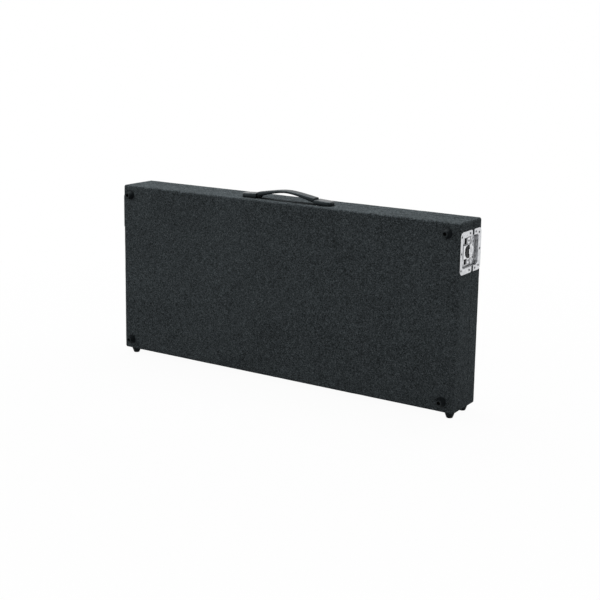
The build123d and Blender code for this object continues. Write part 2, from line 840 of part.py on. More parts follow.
def headed_pin(radius, head_radius, head_height, length):
    """Round-headed fixing, its head seated at the origin, its shank along local -Z."""
    with BuildPart() as pin:
        with BuildSketch(Plane.XZ):
            with BuildLine():
                Polyline(
                    (0, head_height),
                    (0, -length),
                    (radius, -length),
                    (radius, 0),
                    (head_radius, 0),
                )
                TangentArc((0, head_height), (head_radius, 0), tangent=(1, 0))
            make_face()
        revolve(axis=Axis.Z)
    return pin


dish_screw = headed_pin(rivet_radius, rivet_head_radius, rivet_head_height, dish_screw_length)
save_copies(dish_screw, end_seats(base_screw_points, sheet), "base_dish_screws")
save_copies(dish_screw, end_seats(lid_screw_points, sheet), "lid_dish_screws")
rivet = headed_pin(rivet_radius, rivet_head_radius, rivet_head_height, rivet_length)
save_copies(rivet, plate_rivet_seats, "plate_rivets")
save_copies(rivet, keeper_rivet_seats, "keeper_rivets")

# ---------------------------------------------------------------- strap handle
# Height of the strap's top over half its arch, as (part of the grip's reach, part of the rise).
half_arch = ((0.0, 1.0), (0.21, 0.966), (0.41, 0.887), (0.68, 0.756), (1.0, 0.587))
arch = [(-x, rise) for x, rise in reversed(half_arch[1:])] + list(half_arch)
lug_top = top + strap_lug_lift + strap_lug_thickness


def arch_points(drop, swell, lean):
    """Points along the arch, lowered by drop and by up to swell more towards its ends."""
    return [
        (
            handle_offset + x * (grip_reach - lean),
            top + rise * strap_rise - drop - swell * x * x,
        )
        for x, rise in arch
    ]


def arch_band(width, drop, thickness, reach, swell=0.0, lean=0.0):
    """Strip that follows the arch, centred across the strap, cut off at reach from its middle."""
    upper = arch_points(drop, 0.0, 0.0)
    lower = arch_points(drop + thickness, swell, lean)
    with BuildPart() as band:
        with BuildSketch(level(handle_y + width / 2)):
            with BuildLine():
                Spline(*upper)
                Line(upper[-1], lower[-1])
                Spline(*lower)
                Line(lower[0], upper[0])
            make_face()
        extrude(amount=width)
        with Locations((handle_offset, handle_y, top)):
            Box(2 * reach, cap_width, 4 * strap_rise, mode=Mode.INTERSECT)
    return band.part


core_drop = (strap_thickness - core_thickness) / 2
core_reach = grip_reach - core_setback
with BuildPart() as handle_core:
    add(arch_band(core_width, core_drop, core_thickness, core_reach))
save(handle_core, "handle_core")
core_channel = arch_band(
    core_width + 2 * core_play,
    core_drop - core_play,
    core_thickness + 2 * core_play,
    core_reach + core_play,
)

# The grip thickens towards its ends; a thinner lug runs on from each end into its cap.
lug_start = grip_reach - strap_root
lug_flat = mouth_reach + strap_taper
lug_end = bolt_reach + strap_lug_end
with BuildPart() as handle_strap:
    add(arch_band(strap_width, 0, strap_thickness, grip_reach, strap_swell, strap_end_lean))
    fillet(handle_strap.edges().filter_by(GeomType.BSPLINE), strap_fillet)
    for side in (-1, 1):
        with BuildSketch(level(handle_y + strap_width / 2)):
            with BuildLine():
                Polyline(
                    (handle_offset + side * lug_start, top + strap_root_low),
                    (handle_offset + side * lug_start, top + strap_root_high),
                    (handle_offset + side * lug_flat, lug_top),
                    (handle_offset + side * lug_end, lug_top),
                    (handle_offset + side * lug_end, top + strap_lug_lift),
                    (handle_offset + side * lug_flat, top + strap_lug_lift),
                    close=True,
                )
            make_face()
        extrude(amount=strap_width)
    add(core_channel, mode=Mode.SUBTRACT)
    with BuildSketch(Plane.XY.offset(top)):
        with Locations(*[(x, handle_y) for x in bolt_x]):
            SlotOverall(2 * (bolt_radius + strap_slot), 2 * (bolt_radius + fit))
    extrude(amount=2 * strap_lug_thickness, mode=Mode.SUBTRACT)
save(handle_strap, "handle_strap")

# End cap: lower and round at its outer end, open at the mouth the strap comes out of.
cap_mouth = handle_offset + mouth_reach
cap_end = handle_offset + handle_span / 2
bolt_seat = lug_top + cap_boss_floor


def cap_block(inset, plan_corner):
    """The cap's solid shape drawn in by inset; the mouth stays where it is."""
    with BuildPart() as block:
        with BuildSketch(level(handle_y + cap_width / 2 - inset)):
            with BuildLine():
                Polyline(
                    (cap_mouth, top),
                    (cap_mouth, top + cap_mouth_height - inset),
                    (cap_end - inset, top + cap_end_height - inset),
                    (cap_end - inset, top),
                    close=True,
                )
            make_face()
        extrude(amount=cap_width - 2 * inset)
        fillet(block.edges().filter_by(Axis.Z).group_by(Axis.X)[-1], plan_corner)
    return block.part


with BuildPart() as cap:
    add(cap_block(0, cap_corner))
    upper_edges = cap.faces().filter_by(Plane.XY, reverse=True).sort_by(Axis.Z)[-1].edges()
    fillet(upper_edges.filter_by(Axis.Y, reverse=True), cap_fillet)
    add(cap_block(cap_wall, cap_corner - cap_wall), mode=Mode.SUBTRACT)
    with BuildSketch(Plane.XY.offset(lug_top)):
        with Locations((bolt_x[1], handle_y)):
            Circle(bolt_head_radius + cap_boss_wall)
    extrude(amount=cap_boss_floor + cap_wall)
    with BuildSketch(Plane.XY.offset(bolt_seat)):
        with Locations((bolt_x[1], handle_y)):
            Circle(bolt_head_radius + 2 * fit)
    extrude(amount=cap_mouth_height, mode=Mode.SUBTRACT)
    with Locations((bolt_x[1], handle_y, bolt_seat)):
        Cylinder(bolt_radius + fit, cap_mouth_height, mode=Mode.SUBTRACT)
save_pair(cap, "handle_cap", handle_offset)

bolt_places = [Plane((x, handle_y, bolt_seat)) for x in bolt_x]
bolt_length = bolt_seat - (top - wall) + bolt_end
bolt = headed_pin(bolt_radius, bolt_head_radius, bolt_head_height, bolt_length)
save_copies(bolt, bolt_places, "handle_bolts")

# Tee nut pressed in from inside the tray, its flange against the top rail.
with BuildPart() as tee_nut:
    with BuildSketch(Plane.XY.offset(-tee_nut_flange)):
        Circle(tee_nut_radius)
        Circle(bolt_radius + fit, mode=Mode.SUBTRACT)
    extrude(amount=tee_nut_flange)
    with BuildSketch(Plane.XY):
        Circle(tee_nut_barrel)
        Circle(bolt_radius + fit, mode=Mode.SUBTRACT)
    extrude(amount=tee_nut_height)
tee_nut_places = [Plane((x, handle_y, top - wall)) for x in bolt_x]
save_copies(tee_nut, tee_nut_places, "handle_tee_nuts")
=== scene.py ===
# %% [markdown]
# # A carpet-covered pedalboard, dressed around its imported frame
# The case is plywood wrapped in needle-punched carpet. The tray faces -Y with its rubber feet, the lid
# closes it from +Y, and a strap handle sits on the upper long edge. The imported frame already has every
# solid in its true place, so this lesson adds the surfaces that a solid model lacks. The frame is loaded
# first. The finished model has to stay inside it.

# %% Load the frame
import json
import math

import bpy
from mathutils import Matrix, Vector


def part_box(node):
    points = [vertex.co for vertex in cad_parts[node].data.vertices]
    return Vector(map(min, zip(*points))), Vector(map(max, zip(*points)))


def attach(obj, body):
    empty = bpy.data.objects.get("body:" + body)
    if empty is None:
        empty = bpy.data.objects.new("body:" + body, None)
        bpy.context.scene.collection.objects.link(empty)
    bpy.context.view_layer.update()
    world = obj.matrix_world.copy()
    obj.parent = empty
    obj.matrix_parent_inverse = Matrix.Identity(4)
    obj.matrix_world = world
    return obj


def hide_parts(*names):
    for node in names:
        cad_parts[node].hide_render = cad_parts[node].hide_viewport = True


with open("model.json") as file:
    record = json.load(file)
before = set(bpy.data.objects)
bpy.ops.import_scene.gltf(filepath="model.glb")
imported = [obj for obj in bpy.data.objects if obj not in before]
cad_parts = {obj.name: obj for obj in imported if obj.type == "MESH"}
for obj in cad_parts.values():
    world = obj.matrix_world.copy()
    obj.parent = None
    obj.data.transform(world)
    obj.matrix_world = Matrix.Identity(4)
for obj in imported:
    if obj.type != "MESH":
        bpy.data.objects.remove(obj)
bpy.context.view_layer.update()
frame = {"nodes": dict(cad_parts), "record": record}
MM = 0.001
x_axis, y_axis, z_axis = 0, 1, 2
print("nodes in the frame:", len(frame["nodes"]))

# %% [markdown]
# ## Small helpers
# Operators act on everything that is selected, and the frame arrives selected, so each step begins by
# selecting nothing. The helpers below add a box and round its long corners, cut or join solids with
# the Boolean modifier, and round what is left with the Bevel modifier. Each modifier is applied at
# once, so a finished piece is plain mesh with its place in its vertices.

# %% Helpers for modelling
def select_nothing():
    if bpy.context.object and bpy.context.object.mode != "OBJECT":
        bpy.ops.object.mode_set(mode="OBJECT")
    bpy.ops.object.select_all(action="DESELECT")


def select_only(piece):
    select_nothing()
    piece.select_set(True)
    bpy.context.view_layer.objects.active = piece


def settle(piece):
    """Moves the object's place, turn and size into its mesh."""
    select_only(piece)
    bpy.ops.object.transform_apply(location=True, rotation=True, scale=True)
    return piece


def choose(piece, kind, test):
    """Selects the vertices, edges or faces whose centre passes the test, then opens edit mode."""
    select_only(piece)
    bpy.ops.object.mode_set(mode="EDIT")
    bpy.ops.mesh.select_mode(type=kind)
    bpy.ops.mesh.select_all(action="DESELECT")
    bpy.ops.object.mode_set(mode="OBJECT")
    mesh = piece.data
    if kind == "FACE":
        for face in mesh.polygons:
            face.select = test(face.center, face.normal)
    elif kind == "EDGE":
        for edge in mesh.edges:
            a, b = (mesh.vertices[i].co for i in edge.vertices)
            edge.select = test((a + b) / 2, (b - a).normalized())
    else:
        for vertex in mesh.vertices:
            vertex.select = test(vertex.co, vertex.normal)
    bpy.ops.object.mode_set(mode="EDIT")


def leave_edit():
    bpy.ops.object.mode_set(mode="OBJECT")


def round_edges(piece, radius, segments, test):
    """Rounds the edges whose middle and direction pass the test."""
    choose(piece, "EDGE", test)
    bpy.ops.mesh.bevel(offset=radius, segments=segments, affect="EDGES")
    leave_edit()


def delete_faces(piece, test):
    """Opens a solid where a face's middle and normal pass the test."""
    choose(piece, "FACE", test)
    bpy.ops.mesh.delete(type="FACE")
    leave_edit()


def apply(piece, modifier):
    select_only(piece)
    bpy.ops.object.modifier_apply(modifier=modifier.name)


def cut(piece, cutter, operation="DIFFERENCE"):
    """Boolean of two solids, applied; the second solid is used up."""
    step = piece.modifiers.new("cut", "BOOLEAN")
    step.operation = operation
    step.solver = "EXACT"
    step.object = cutter
    apply(piece, step)
    bpy.data.objects.remove(cutter, do_unlink=True)
    return piece


def soften(piece, width, segments=3, angle=35):
    """Rounds every edge sharper than the angle."""
    step = piece.modifiers.new("soften", "BEVEL")
    step.limit_method = "ANGLE"
    step.angle_limit = math.radians(angle)
    step.width = width
    step.segments = segments
    step.harden_normals = False
    apply(piece, step)
    return piece


def smooth(piece, angle=40):
    select_only(piece)
    bpy.ops.object.shade_smooth_by_angle(angle=math.radians(angle))
    return piece


def block(name, low, high, corner=0.0, along=x_axis, segments=6):
    """A box between two corners; with a corner radius, its edges along one axis are rounded."""
    select_nothing()
    low, high = Vector(low), Vector(high)
    bpy.ops.mesh.primitive_cube_add(size=1, location=(low + high) / 2)
    piece = bpy.context.object
    piece.name = name
    piece.scale = high - low
    settle(piece)
    if corner > 0:
        round_edges(piece, corner, segments, lambda middle, way: abs(way[along]) > 0.99)
    return piece


def twin(piece, name):
    """The mirror image of a piece at the other end of the case, its faces turned back outwards."""
    copy = piece.copy()
    copy.data = piece.data.copy()
    copy.name = name
    bpy.context.scene.collection.objects.link(copy)
    copy.data.transform(Matrix.Scale(-1, 4, (1, 0, 0)))
    copy.data.flip_normals()
    return copy


# %% [markdown]
# ## Finishes
# Each finish is a small node tree that reads Object coordinates, so that a pattern keeps its real
# size in metres and stays on its piece when the piece moves. Colour and roughness vary a little, and
# a Bump node gives the grain that is too small to model. One helper adds a node, sets its values and
# links its inputs, and the others name the few nodes that come again and again.

# %% Helpers for finishes
def new_finish(name):
    finish = bpy.data.materials.new(name)
    finish.use_nodes = True
    tree = finish.node_tree
    shader = tree.nodes["Principled BSDF"]
    return finish, tree, shader


def add_node(tree, kind, inputs, **settings):
    """A node whose inputs are other nodes' outputs, which are linked, or plain values."""
    node = tree.nodes.new("ShaderNode" + kind)
    for setting, value in settings.items():
        setattr(node, setting, value)
    for socket, value in inputs.items():
        if isinstance(value, bpy.types.NodeSocket):
            tree.links.new(value, node.inputs[socket])
        else:
            node.inputs[socket].default_value = value
    return node


def link(tree, output, node, socket):
    tree.links.new(output, node.inputs[socket])


def place(tree, stretch=(1, 1, 1), turn=(0, 0, 0)):
    """Object coordinates for one pattern, drawn out along its own axes after it is turned."""
    spot = add_node(tree, "TexCoord", {}).outputs["Object"]
    inputs = {"Scale": stretch, "Rotation": turn, "Vector": spot}
    return add_node(tree, "Mapping", inputs, vector_type="TEXTURE").outputs["Vector"]


def noise(tree, vector, scale, detail, roughness, distortion=0.0):
    inputs = {"Scale": scale, "Detail": detail, "Roughness": roughness, "Distortion": distortion}
    return add_node(tree, "TexNoise", {**inputs, "Vector": vector}).outputs["Fac"]


def ramp(tree, value, stops):
    """A colour for each value; every stop is a place between 0 and 1 and its colour."""
    node = add_node(tree, "ValToRGB", {"Fac": value})
    marks = node.color_ramp.elements
    marks[0].position, marks[0].color = stops[0][0], (*stops[0][1], 1)
    marks[1].position, marks[1].color = stops[-1][0], (*stops[-1][1], 1)
    for position, colour in stops[1:-1]:
        marks.new(position).color = (*colour, 1)
    return node.outputs["Color"]


def grey_ramp(tree, value, low, high, from_low=0.0, from_high=1.0):
    """A number that goes from low to high while the value goes from from_low to from_high."""
    ends = {"From Min": from_low, "From Max": from_high, "To Min": low, "To Max": high}
    return add_node(tree, "MapRange", {**ends, "Value": value}).outputs["Result"]


def mix(tree, share, first, second, way="MIX"):
    """Blends two colours; a colour mix node has its colours at the sockets named here."""
    share_socket, first_colour, second_colour, result = 0, 6, 7, 2
    inputs = {share_socket: share, first_colour: first, second_colour: second}
    return add_node(tree, "Mix", inputs, data_type="RGBA", blend_type=way).outputs[result]


def bump(tree, shader, height, strength, distance, before=None):
    """Relief too small to model, laid over an earlier relief if there is one."""
    inputs = {"Strength": strength, "Distance": distance, "Height": height}
    if before is not None:
        inputs["Normal"] = before
    relief = add_node(tree, "Bump", inputs).outputs["Normal"]
    link(tree, relief, shader, "Normal")
    return relief


def dress(piece, finish):
    piece.data.materials.clear()
    piece.data.materials.append(finish)
    return piece


# %% [markdown]
# ### Needle-punched carpet
# The carpet is a heather of near-black and grey fibres felted flat. From near, it is tangled hair;
# from a step away, clumps of a few millimetres and scattered pale tufts; from across a room, patches
# and faint clouds. Each of these is a noise of its own size. The tufts are the cells of a Voronoi
# texture whose random value is high, so they lie scattered and are all different. Strands that lie on
# top in a few directions are noises drawn out along a turned axis. The clumps and hairs also drive
# the bump, so that the felt has a nap and not only a print.

# %% Carpet finish
def cells(tree, vector, scale, value="Color"):
    """A Voronoi texture's random value per cell, or its distance from the cell's middle."""
    return add_node(tree, "TexVoronoi", {"Scale": scale, "Vector": vector}).outputs[value]


def bent(tree, vector, scale, amount):
    """Coordinates pushed about by a noise, so that a regular pattern turns ragged."""
    push = add_node(tree, "TexNoise", {"Scale": scale, "Detail": 2, "Vector": vector})
    inputs = {0: push.outputs["Color"], 1: (amount, amount, amount), 2: vector}
    return add_node(tree, "VectorMath", inputs, operation="MULTIPLY_ADD").outputs["Vector"]


strand_ways = ((1, 0.9, 0.45), (1, 0.8, -0.5), (1, -0.9, 0.2))
strand_stretch = (7, 1, 1)
carpet_shine = 0.03


def carpet_finish(name, dark, middle, light, tuft):
    finish, tree, shader = new_finish(name)
    spot = place(tree)
    ragged = bent(tree, spot, scale=420, amount=3.5 * MM)
    clouds = noise(tree, spot, scale=9, detail=3, roughness=0.5)
    patches = noise(tree, spot, scale=75, detail=2, roughness=0.6)
    clumps = noise(tree, spot, scale=290, detail=4, roughness=0.7, distortion=0.6)
    hairs = noise(tree, ragged, scale=1000, detail=3, roughness=0.75, distortion=1.5)
    tufts = cells(tree, ragged, scale=330)
    colour = ramp(tree, clumps, [(0.34, dark), (0.5, middle), (0.66, light)])
    for pattern, depth in ((clouds, 0.16), (patches, 0.28), (hairs, 0.55)):
        shade = ramp(tree, pattern, [(0.3, (1 - depth,) * 3), (0.7, (1 + depth,) * 3)])
        colour = mix(tree, 1.0, colour, shade, "MULTIPLY")
    tuft_colour = ramp(tree, hairs, [(0.3, middle), (0.75, tuft)])
    tuft_share = grey_ramp(tree, tufts, 0.0, 0.8, from_low=0.72, from_high=0.95)
    colour = mix(tree, tuft_share, colour, tuft_colour)
    for way in strand_ways:
        turn = Vector(way).to_track_quat("X", "Z").to_euler()
        along = place(tree, strand_stretch, turn)
        strands = noise(tree, along, scale=520, detail=2, roughness=0.6, distortion=0.7)
        strand_share = grey_ramp(tree, strands, 0.0, 0.85, from_low=0.58, from_high=0.7)
        colour = mix(tree, strand_share, colour, tuft_colour)
    link(tree, colour, shader, "Base Color")
    link(tree, grey_ramp(tree, clumps, 0.88, 1.0), shader, "Roughness")
    shader.inputs["Specular IOR Level"].default_value = carpet_shine
    nap = bump(tree, shader, clumps, strength=0.8, distance=2 * MM)
    bump(tree, shader, hairs, strength=0.6, distance=0.7 * MM, before=nap)
    return finish


case_carpet = carpet_finish(
    "case carpet",
    dark=(0.0068, 0.0082, 0.0086),
    middle=(0.0226, 0.0272, 0.0285),
    light=(0.065, 0.077, 0.083),
    tuft=(0.173, 0.199, 0.216),
)
deck_loop = carpet_finish(
    "deck carpet",
    dark=(0.005, 0.005, 0.0055),
    middle=(0.011, 0.011, 0.0115),
    light=(0.024, 0.024, 0.025),
    tuft=(0.055, 0.055, 0.057),
)
print("carpet nodes:", len(case_carpet.node_tree.nodes))

# %% [markdown]
# ### Rubber, plastic and metal
# Rubber is dull with a faint mould texture and paler where it is rubbed, and the caps are the
# smoothest of the moulded pieces. Their shine is tinted a little cold, as it looks on black rubber in
# daylight. The latch is bright zinc plate, and fine drawing lines break its roughness. Down in a
# recess its colour is darkened as painted shade: the Ambient Occlusion node finds those places from
# the geometry itself, so the painted shade stays in its corners in every view.

# %% Rubber, plastic and metal
cold_tint = (0.72, 0.92, 1.0, 1)


def rubber_finish(name, colour, rubbed, rough, shine):
    finish, tree, shader = new_finish(name)
    spot = place(tree)
    dust = noise(tree, spot, scale=90, detail=5, roughness=0.6)
    grain = noise(tree, spot, scale=2600, detail=2, roughness=0.5)
    link(tree, ramp(tree, dust, [(0.4, colour), (0.75, rubbed)]), shader, "Base Color")
    link(tree, grey_ramp(tree, dust, rough - 0.1, rough + 0.12), shader, "Roughness")
    shader.inputs["Specular IOR Level"].default_value = shine
    shader.inputs["Specular Tint"].default_value = cold_tint
    bump(tree, shader, grain, strength=0.25, distance=0.2 * MM)
    return finish


def occlusion_for_painted_shade(tree, distance):
    """Near zero in corners and recesses, one on open faces; it darkens metal there as painted shade."""
    return add_node(tree, "AmbientOcclusion", {"Distance": distance}, samples=8).outputs["AO"]


drawn_stretch = (1, 1, 33)


def metal_finish(name, colour, dull, rough, shade_reach=0.0):
    """Drawn metal; its last argument is how near the walls of a recess have to be to darken it as painted
    shade.
    """
    finish, tree, shader = new_finish(name)
    stains = noise(tree, place(tree), scale=150, detail=4, roughness=0.6)
    drawn = noise(tree, place(tree, drawn_stretch), scale=2400, detail=2, roughness=0.5)
    tone = ramp(tree, stains, [(0.35, dull), (0.6, colour)])
    # Painted shade: where the AO node finds recesses and corners, the colour goes to a near-black mottle.
    if shade_reach > 0:
        unshaded_share = grey_ramp(tree, occlusion_for_painted_shade(tree, shade_reach), 0.0, 1.0, from_low=0.48, from_high=0.96)
        dark_painted_shade, pale_painted_shade = (tuple(part * c for c in dull) for part in (0.05, 0.15))
        painted_shade = ramp(tree, stains, [(0.3, dark_painted_shade), (0.7, pale_painted_shade)])
        tone = mix(tree, unshaded_share, painted_shade, tone)
    link(tree, tone, shader, "Base Color")
    drawn_rough = grey_ramp(tree, drawn, rough - 0.08, rough + 0.12, from_low=0.3, from_high=0.7)
    link(tree, drawn_rough, shader, "Roughness")
    shader.inputs["Metallic"].default_value = 1.0
    bump(tree, shader, drawn, strength=0.1, distance=0.1 * MM)
    return finish


# %% [markdown]
# ### Plywood and foam
# Plywood shows long grain on its faces and its plies on its edges. A face and an edge differ only in
# which way they point, so the Normal output of Texture Coordinate chooses between a grain pattern and
# a wave whose bands lie across the thickness. Each board is cut from the sheet in its own direction,
# so the finish is made once for each. Foam is nearly black, with a Voronoi texture as its pores.

# %% Plywood and foam
veneer_tones = ((0.34, 0.21, 0.105), (0.52, 0.36, 0.205), (0.62, 0.46, 0.29))
tint_tones = ((0.84, 0.8, 0.76), (1.08, 1.06, 1.04))
ply_tones = ((0.20, 0.115, 0.055), (0.56, 0.41, 0.25))
foam_tones = ((0.035, 0.036, 0.04), (0.075, 0.077, 0.083))
grain_stretch, broad_stretch = 20, 6
ply_bands = 105


def plywood_finish(name, through, along):
    """Plywood whose thickness runs along one axis and whose face grain runs along another."""
    finish, tree, shader = new_finish(name)
    stretch = [1.0, 1.0, 1.0]
    stretch[along] = grain_stretch
    grain = noise(tree, place(tree, stretch), scale=260, detail=5, roughness=0.65, distortion=0.8)
    stretch[along] = broad_stretch
    broad = noise(tree, place(tree, stretch), scale=22, detail=3, roughness=0.5, distortion=1.6)
    face = ramp(tree, grain, list(zip((0.3, 0.55, 0.8), veneer_tones)))
    tint = ramp(tree, broad, list(zip((0.3, 0.7), tint_tones)))
    veneer = mix(tree, 1.0, face, tint, "MULTIPLY")
    bands = {"Scale": ply_bands, "Distortion": 0.6, "Vector": place(tree)}
    plies = add_node(tree, "TexWave", bands, bands_direction="XYZ"[through])
    layers = ramp(tree, plies.outputs["Fac"], list(zip((0.35, 0.65), ply_tones)))
    facing = add_node(tree, "TexCoord", {}).outputs["Normal"]
    split = add_node(tree, "SeparateXYZ", {"Vector": facing})
    squareness = add_node(tree, "Math", {0: split.outputs[through]}, operation="ABSOLUTE")
    on_face = grey_ramp(tree, squareness.outputs["Value"], 0, 1, from_low=0.4, from_high=0.6)
    link(tree, mix(tree, on_face, layers, veneer), shader, "Base Color")
    link(tree, grey_ramp(tree, grain, 0.5, 0.78), shader, "Roughness")
    bump(tree, shader, grain, strength=0.3, distance=0.4 * MM)
    return finish


def foam_finish():
    finish, tree, shader = new_finish("foam")
    pores = cells(tree, place(tree), scale=900, value="Distance")
    patches = noise(tree, place(tree), scale=60, detail=4, roughness=0.6)
    link(tree, ramp(tree, patches, list(zip((0.3, 0.7), foam_tones))), shader, "Base Color")
    link(tree, grey_ramp(tree, patches, 0.9, 1.0), shader, "Roughness")
    bump(tree, shader, pores, strength=0.7, distance=0.8 * MM)
    return finish


# %% [markdown]
# ### The finish of each piece
# Every node of the frame names a material slot in its record. One finish is made for each slot, and
# the boards get the plywood whose plies lie the right way. The worn rubber and the raised zinc are for
# new pieces that come later. Each rubber, plastic or metal has its clean and its rubbed or dull
# colour, then its roughness.

# %% Finish of each slot
foot_rubber = rubber_finish(
    "foot rubber", (0.0035, 0.0042, 0.0047), (0.0060, 0.0070, 0.0078), rough=0.6, shine=0.07
)
worn_rubber = rubber_finish(
    "worn foot rubber", (0.018, 0.021, 0.0225), (0.032, 0.0365, 0.039), rough=0.75, shine=0.1
)
strap_rubber = rubber_finish(
    "strap rubber", (0.0075, 0.0090, 0.0098), (0.0110, 0.0132, 0.0142), rough=0.42, shine=0.2
)
strip_plastic = rubber_finish(
    "strip plastic", (0.012, 0.012, 0.012), (0.024, 0.024, 0.024), rough=0.5, shine=0.4
)
cap_plastic = rubber_finish(
    "cap plastic", (0.0100, 0.0118, 0.0125), (0.0140, 0.0164, 0.0174), rough=0.28, shine=0.22
)
# The dish's zinc is a darker copy of the raised parts' zinc: painted shade for its recess.
latch_zinc = metal_finish("latch zinc", (0.66, 0.67, 0.69), (0.5, 0.51, 0.53), 0.26, shade_reach=9 * MM)
bright_zinc = metal_finish("raised zinc", (0.74, 0.75, 0.77), (0.6, 0.61, 0.63), 0.24, shade_reach=2.5 * MM)
rivet_steel = metal_finish("rivet steel", (0.12, 0.124, 0.128), (0.06, 0.062, 0.065), 0.4)
plain_steel = metal_finish("plain steel", (0.6, 0.6, 0.62), (0.42, 0.42, 0.43), 0.35)
spring_steel = metal_finish("spring steel", (0.42, 0.42, 0.44), (0.26, 0.26, 0.28), 0.4)
black_screw = metal_finish("black screw", (0.03, 0.03, 0.03), (0.015, 0.015, 0.015), 0.45)
# Painted shade: the turning disc is near black, standing in for the shadowed cavity beside the wing.
disc_painted_black = metal_finish("disc black as painted shade", (0.035, 0.036, 0.038), (0.012, 0.012, 0.013), 0.42)
foam = foam_finish()
panel_wood = plywood_finish("panel plywood", through=y_axis, along=x_axis)
rail_wood = plywood_finish("rail plywood", through=z_axis, along=x_axis)
end_wood = plywood_finish("end plywood", through=x_axis, along=z_axis)

slot_finish = {
    "plywood": panel_wood,
    "case_carpet": case_carpet,
    "deck_carpet": deck_loop,
    "strip_plastic": strip_plastic,
    "foam": foam,
    "foot_rubber": foot_rubber,
    "black_screw": black_screw,
    "plain_screw": plain_steel,
    "latch_zinc": latch_zinc,
    "latch_dark": disc_painted_black,
    "latch_rivet": rivet_steel,
    "strap_rubber": strap_rubber,
    "cap_plastic": cap_plastic,
    "spring_steel": spring_steel,
}
for entry in frame["record"]["subparts"]:
    node = frame["nodes"][entry["node"]]
    finish = slot_finish[entry["material_slot"]]
    if "end_board" in entry["node"]:
        finish = end_wood
    elif "rail" in entry["node"]:
        finish = rail_wood
    dress(node, finish)
print("finishes:", len(slot_finish))

# %% [markdown]
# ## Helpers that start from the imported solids
# Some pieces are already the right shape and only lack the small things that a press, a mould or a
# polishing wheel leaves: no edge of a real sheet is perfectly sharp. For those, a copy of the packed
# mesh is enough. Its triangles are loose, so they are merged first, and flat faces are joined again
# with Limited Dissolve, because the Bevel modifier needs whole faces. A face with holes can't be one
# whole face, so it is first split level through its holes, which leaves clean pieces. Fixings repeat,
# so one is modelled standing on the origin, and its copies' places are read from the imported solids.

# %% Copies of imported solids, and round pieces
weld = 0.004 * MM
flat_angle = math.radians(0.6)
touch = 0.01 * MM    # how near a point lies to a plane that it belongs to


def clean_copy(node, name, splits=()):
    """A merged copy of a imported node, its flat faces whole again but for level splits at some heights."""
    piece = bpy.data.objects.new(name, frame["nodes"][node].data.copy())
    bpy.context.scene.collection.objects.link(piece)
    select_only(piece)
    bpy.ops.mesh.customdata_custom_splitnormals_clear()
    bpy.ops.object.mode_set(mode="EDIT")
    bpy.ops.mesh.select_mode(type="VERT")
    bpy.ops.mesh.select_all(action="SELECT")
    bpy.ops.mesh.remove_doubles(threshold=weld)
    for height in splits:
        bpy.ops.mesh.select_all(action="SELECT")
        bpy.ops.mesh.bisect(plane_co=(0, 0, height), plane_no=(0, 0, 1))
        bpy.ops.mesh.mark_seam()
    bpy.ops.mesh.select_all(action="SELECT")
    bpy.ops.mesh.dissolve_limited(angle_limit=flat_angle, delimit={"SEAM"})
    bpy.ops.mesh.mark_seam(clear=True)
    leave_edit()
    return piece


def boxes_of_solids(node):
    """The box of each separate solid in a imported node, as (lowest corner, highest corner)."""
    copy = clean_copy(node, "count")
    bpy.ops.object.mode_set(mode="EDIT")
    bpy.ops.mesh.select_all(action="SELECT")
    bpy.ops.mesh.separate(type="LOOSE")
    leave_edit()
    boxes = []
    for part in list(bpy.context.selected_objects):
        corners = [vertex.co.copy() for vertex in part.data.vertices]
        low = Vector(min(c[i] for c in corners) for i in range(3))
        high = Vector(max(c[i] for c in corners) for i in range(3))
        boxes.append((low, high))
        bpy.data.objects.remove(part, do_unlink=True)
    return sorted(boxes, key=lambda pair: tuple(pair[0]))


def turned(name, rings, sides=40):
    """A round piece, made by extruding and scaling a disc from ring to ring: (radius, height) in mm."""
    select_nothing()
    radius, height = rings[0][0] * MM, rings[0][1] * MM
    bpy.ops.mesh.primitive_circle_add(
        vertices=sides, radius=radius, fill_type="NGON", location=(0, 0, height)
    )
    piece = bpy.context.object
    piece.name = name
    settle(piece)
    bpy.ops.object.mode_set(mode="EDIT")
    bpy.ops.mesh.select_mode(type="FACE")
    bpy.ops.mesh.select_all(action="SELECT")
    for next_radius, next_height in rings[1:]:
        step = Vector((0, 0, next_height * MM - height))
        bpy.ops.mesh.extrude_region_move(TRANSFORM_OT_translate={"value": step})
        height += step.z
        grow = next_radius * MM / radius
        bpy.ops.transform.resize(value=(grow, grow, 1), center_override=(0, 0, height))
        radius *= grow
    bpy.ops.mesh.select_all(action="SELECT")
    bpy.ops.mesh.normals_make_consistent(inside=False)
    leave_edit()
    return piece


def stood(piece, name, spot, along, turn=0.0):
    """A copy of a piece that stands on the origin, moved to spot with its top pointing along."""
    copy = piece.copy()
    copy.data = piece.data.copy()
    copy.name = name
    bpy.context.scene.collection.objects.link(copy)
    lean = Vector(along).to_track_quat("Z", "Y").to_matrix().to_4x4()
    copy.matrix_world = Matrix.Translation(spot) @ lean @ Matrix.Rotation(turn, 4, "Z")
    return settle(copy)


def joined(name, copies):
    select_nothing()
    for copy in copies:
        copy.select_set(True)
    whole = copies[0]
    bpy.context.view_layer.objects.active = whole
    bpy.ops.object.join()
    whole.name = name
    return whole


def cut_rows(piece, axis, spacing):
    """Subdivides the long edges that run along one axis into steps of about the spacing."""
    mesh = piece.data
    spans = {}
    for edge in mesh.edges:
        a, b = (mesh.vertices[i].co for i in edge.vertices)
        if (b - a).length > spacing and abs((b - a).normalized()[axis]) > 0.999:
            spans[edge.index] = (b - a).length
    longest = max(spans.values())
    choose(piece, "EDGE", lambda middle, way: False)
    leave_edit()
    for index, span in spans.items():
        mesh.edges[index].select = span > longest / 2
    bpy.ops.object.mode_set(mode="EDIT")
    bpy.ops.mesh.subdivide(number_cuts=round(longest / spacing) - 1)
    leave_edit()


def finish_piece(piece, finish, node, body):
    """The calls that every new piece ends with: its finish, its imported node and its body."""
    dress(piece, finish)
    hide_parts(node)
    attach(piece, body)
    return piece


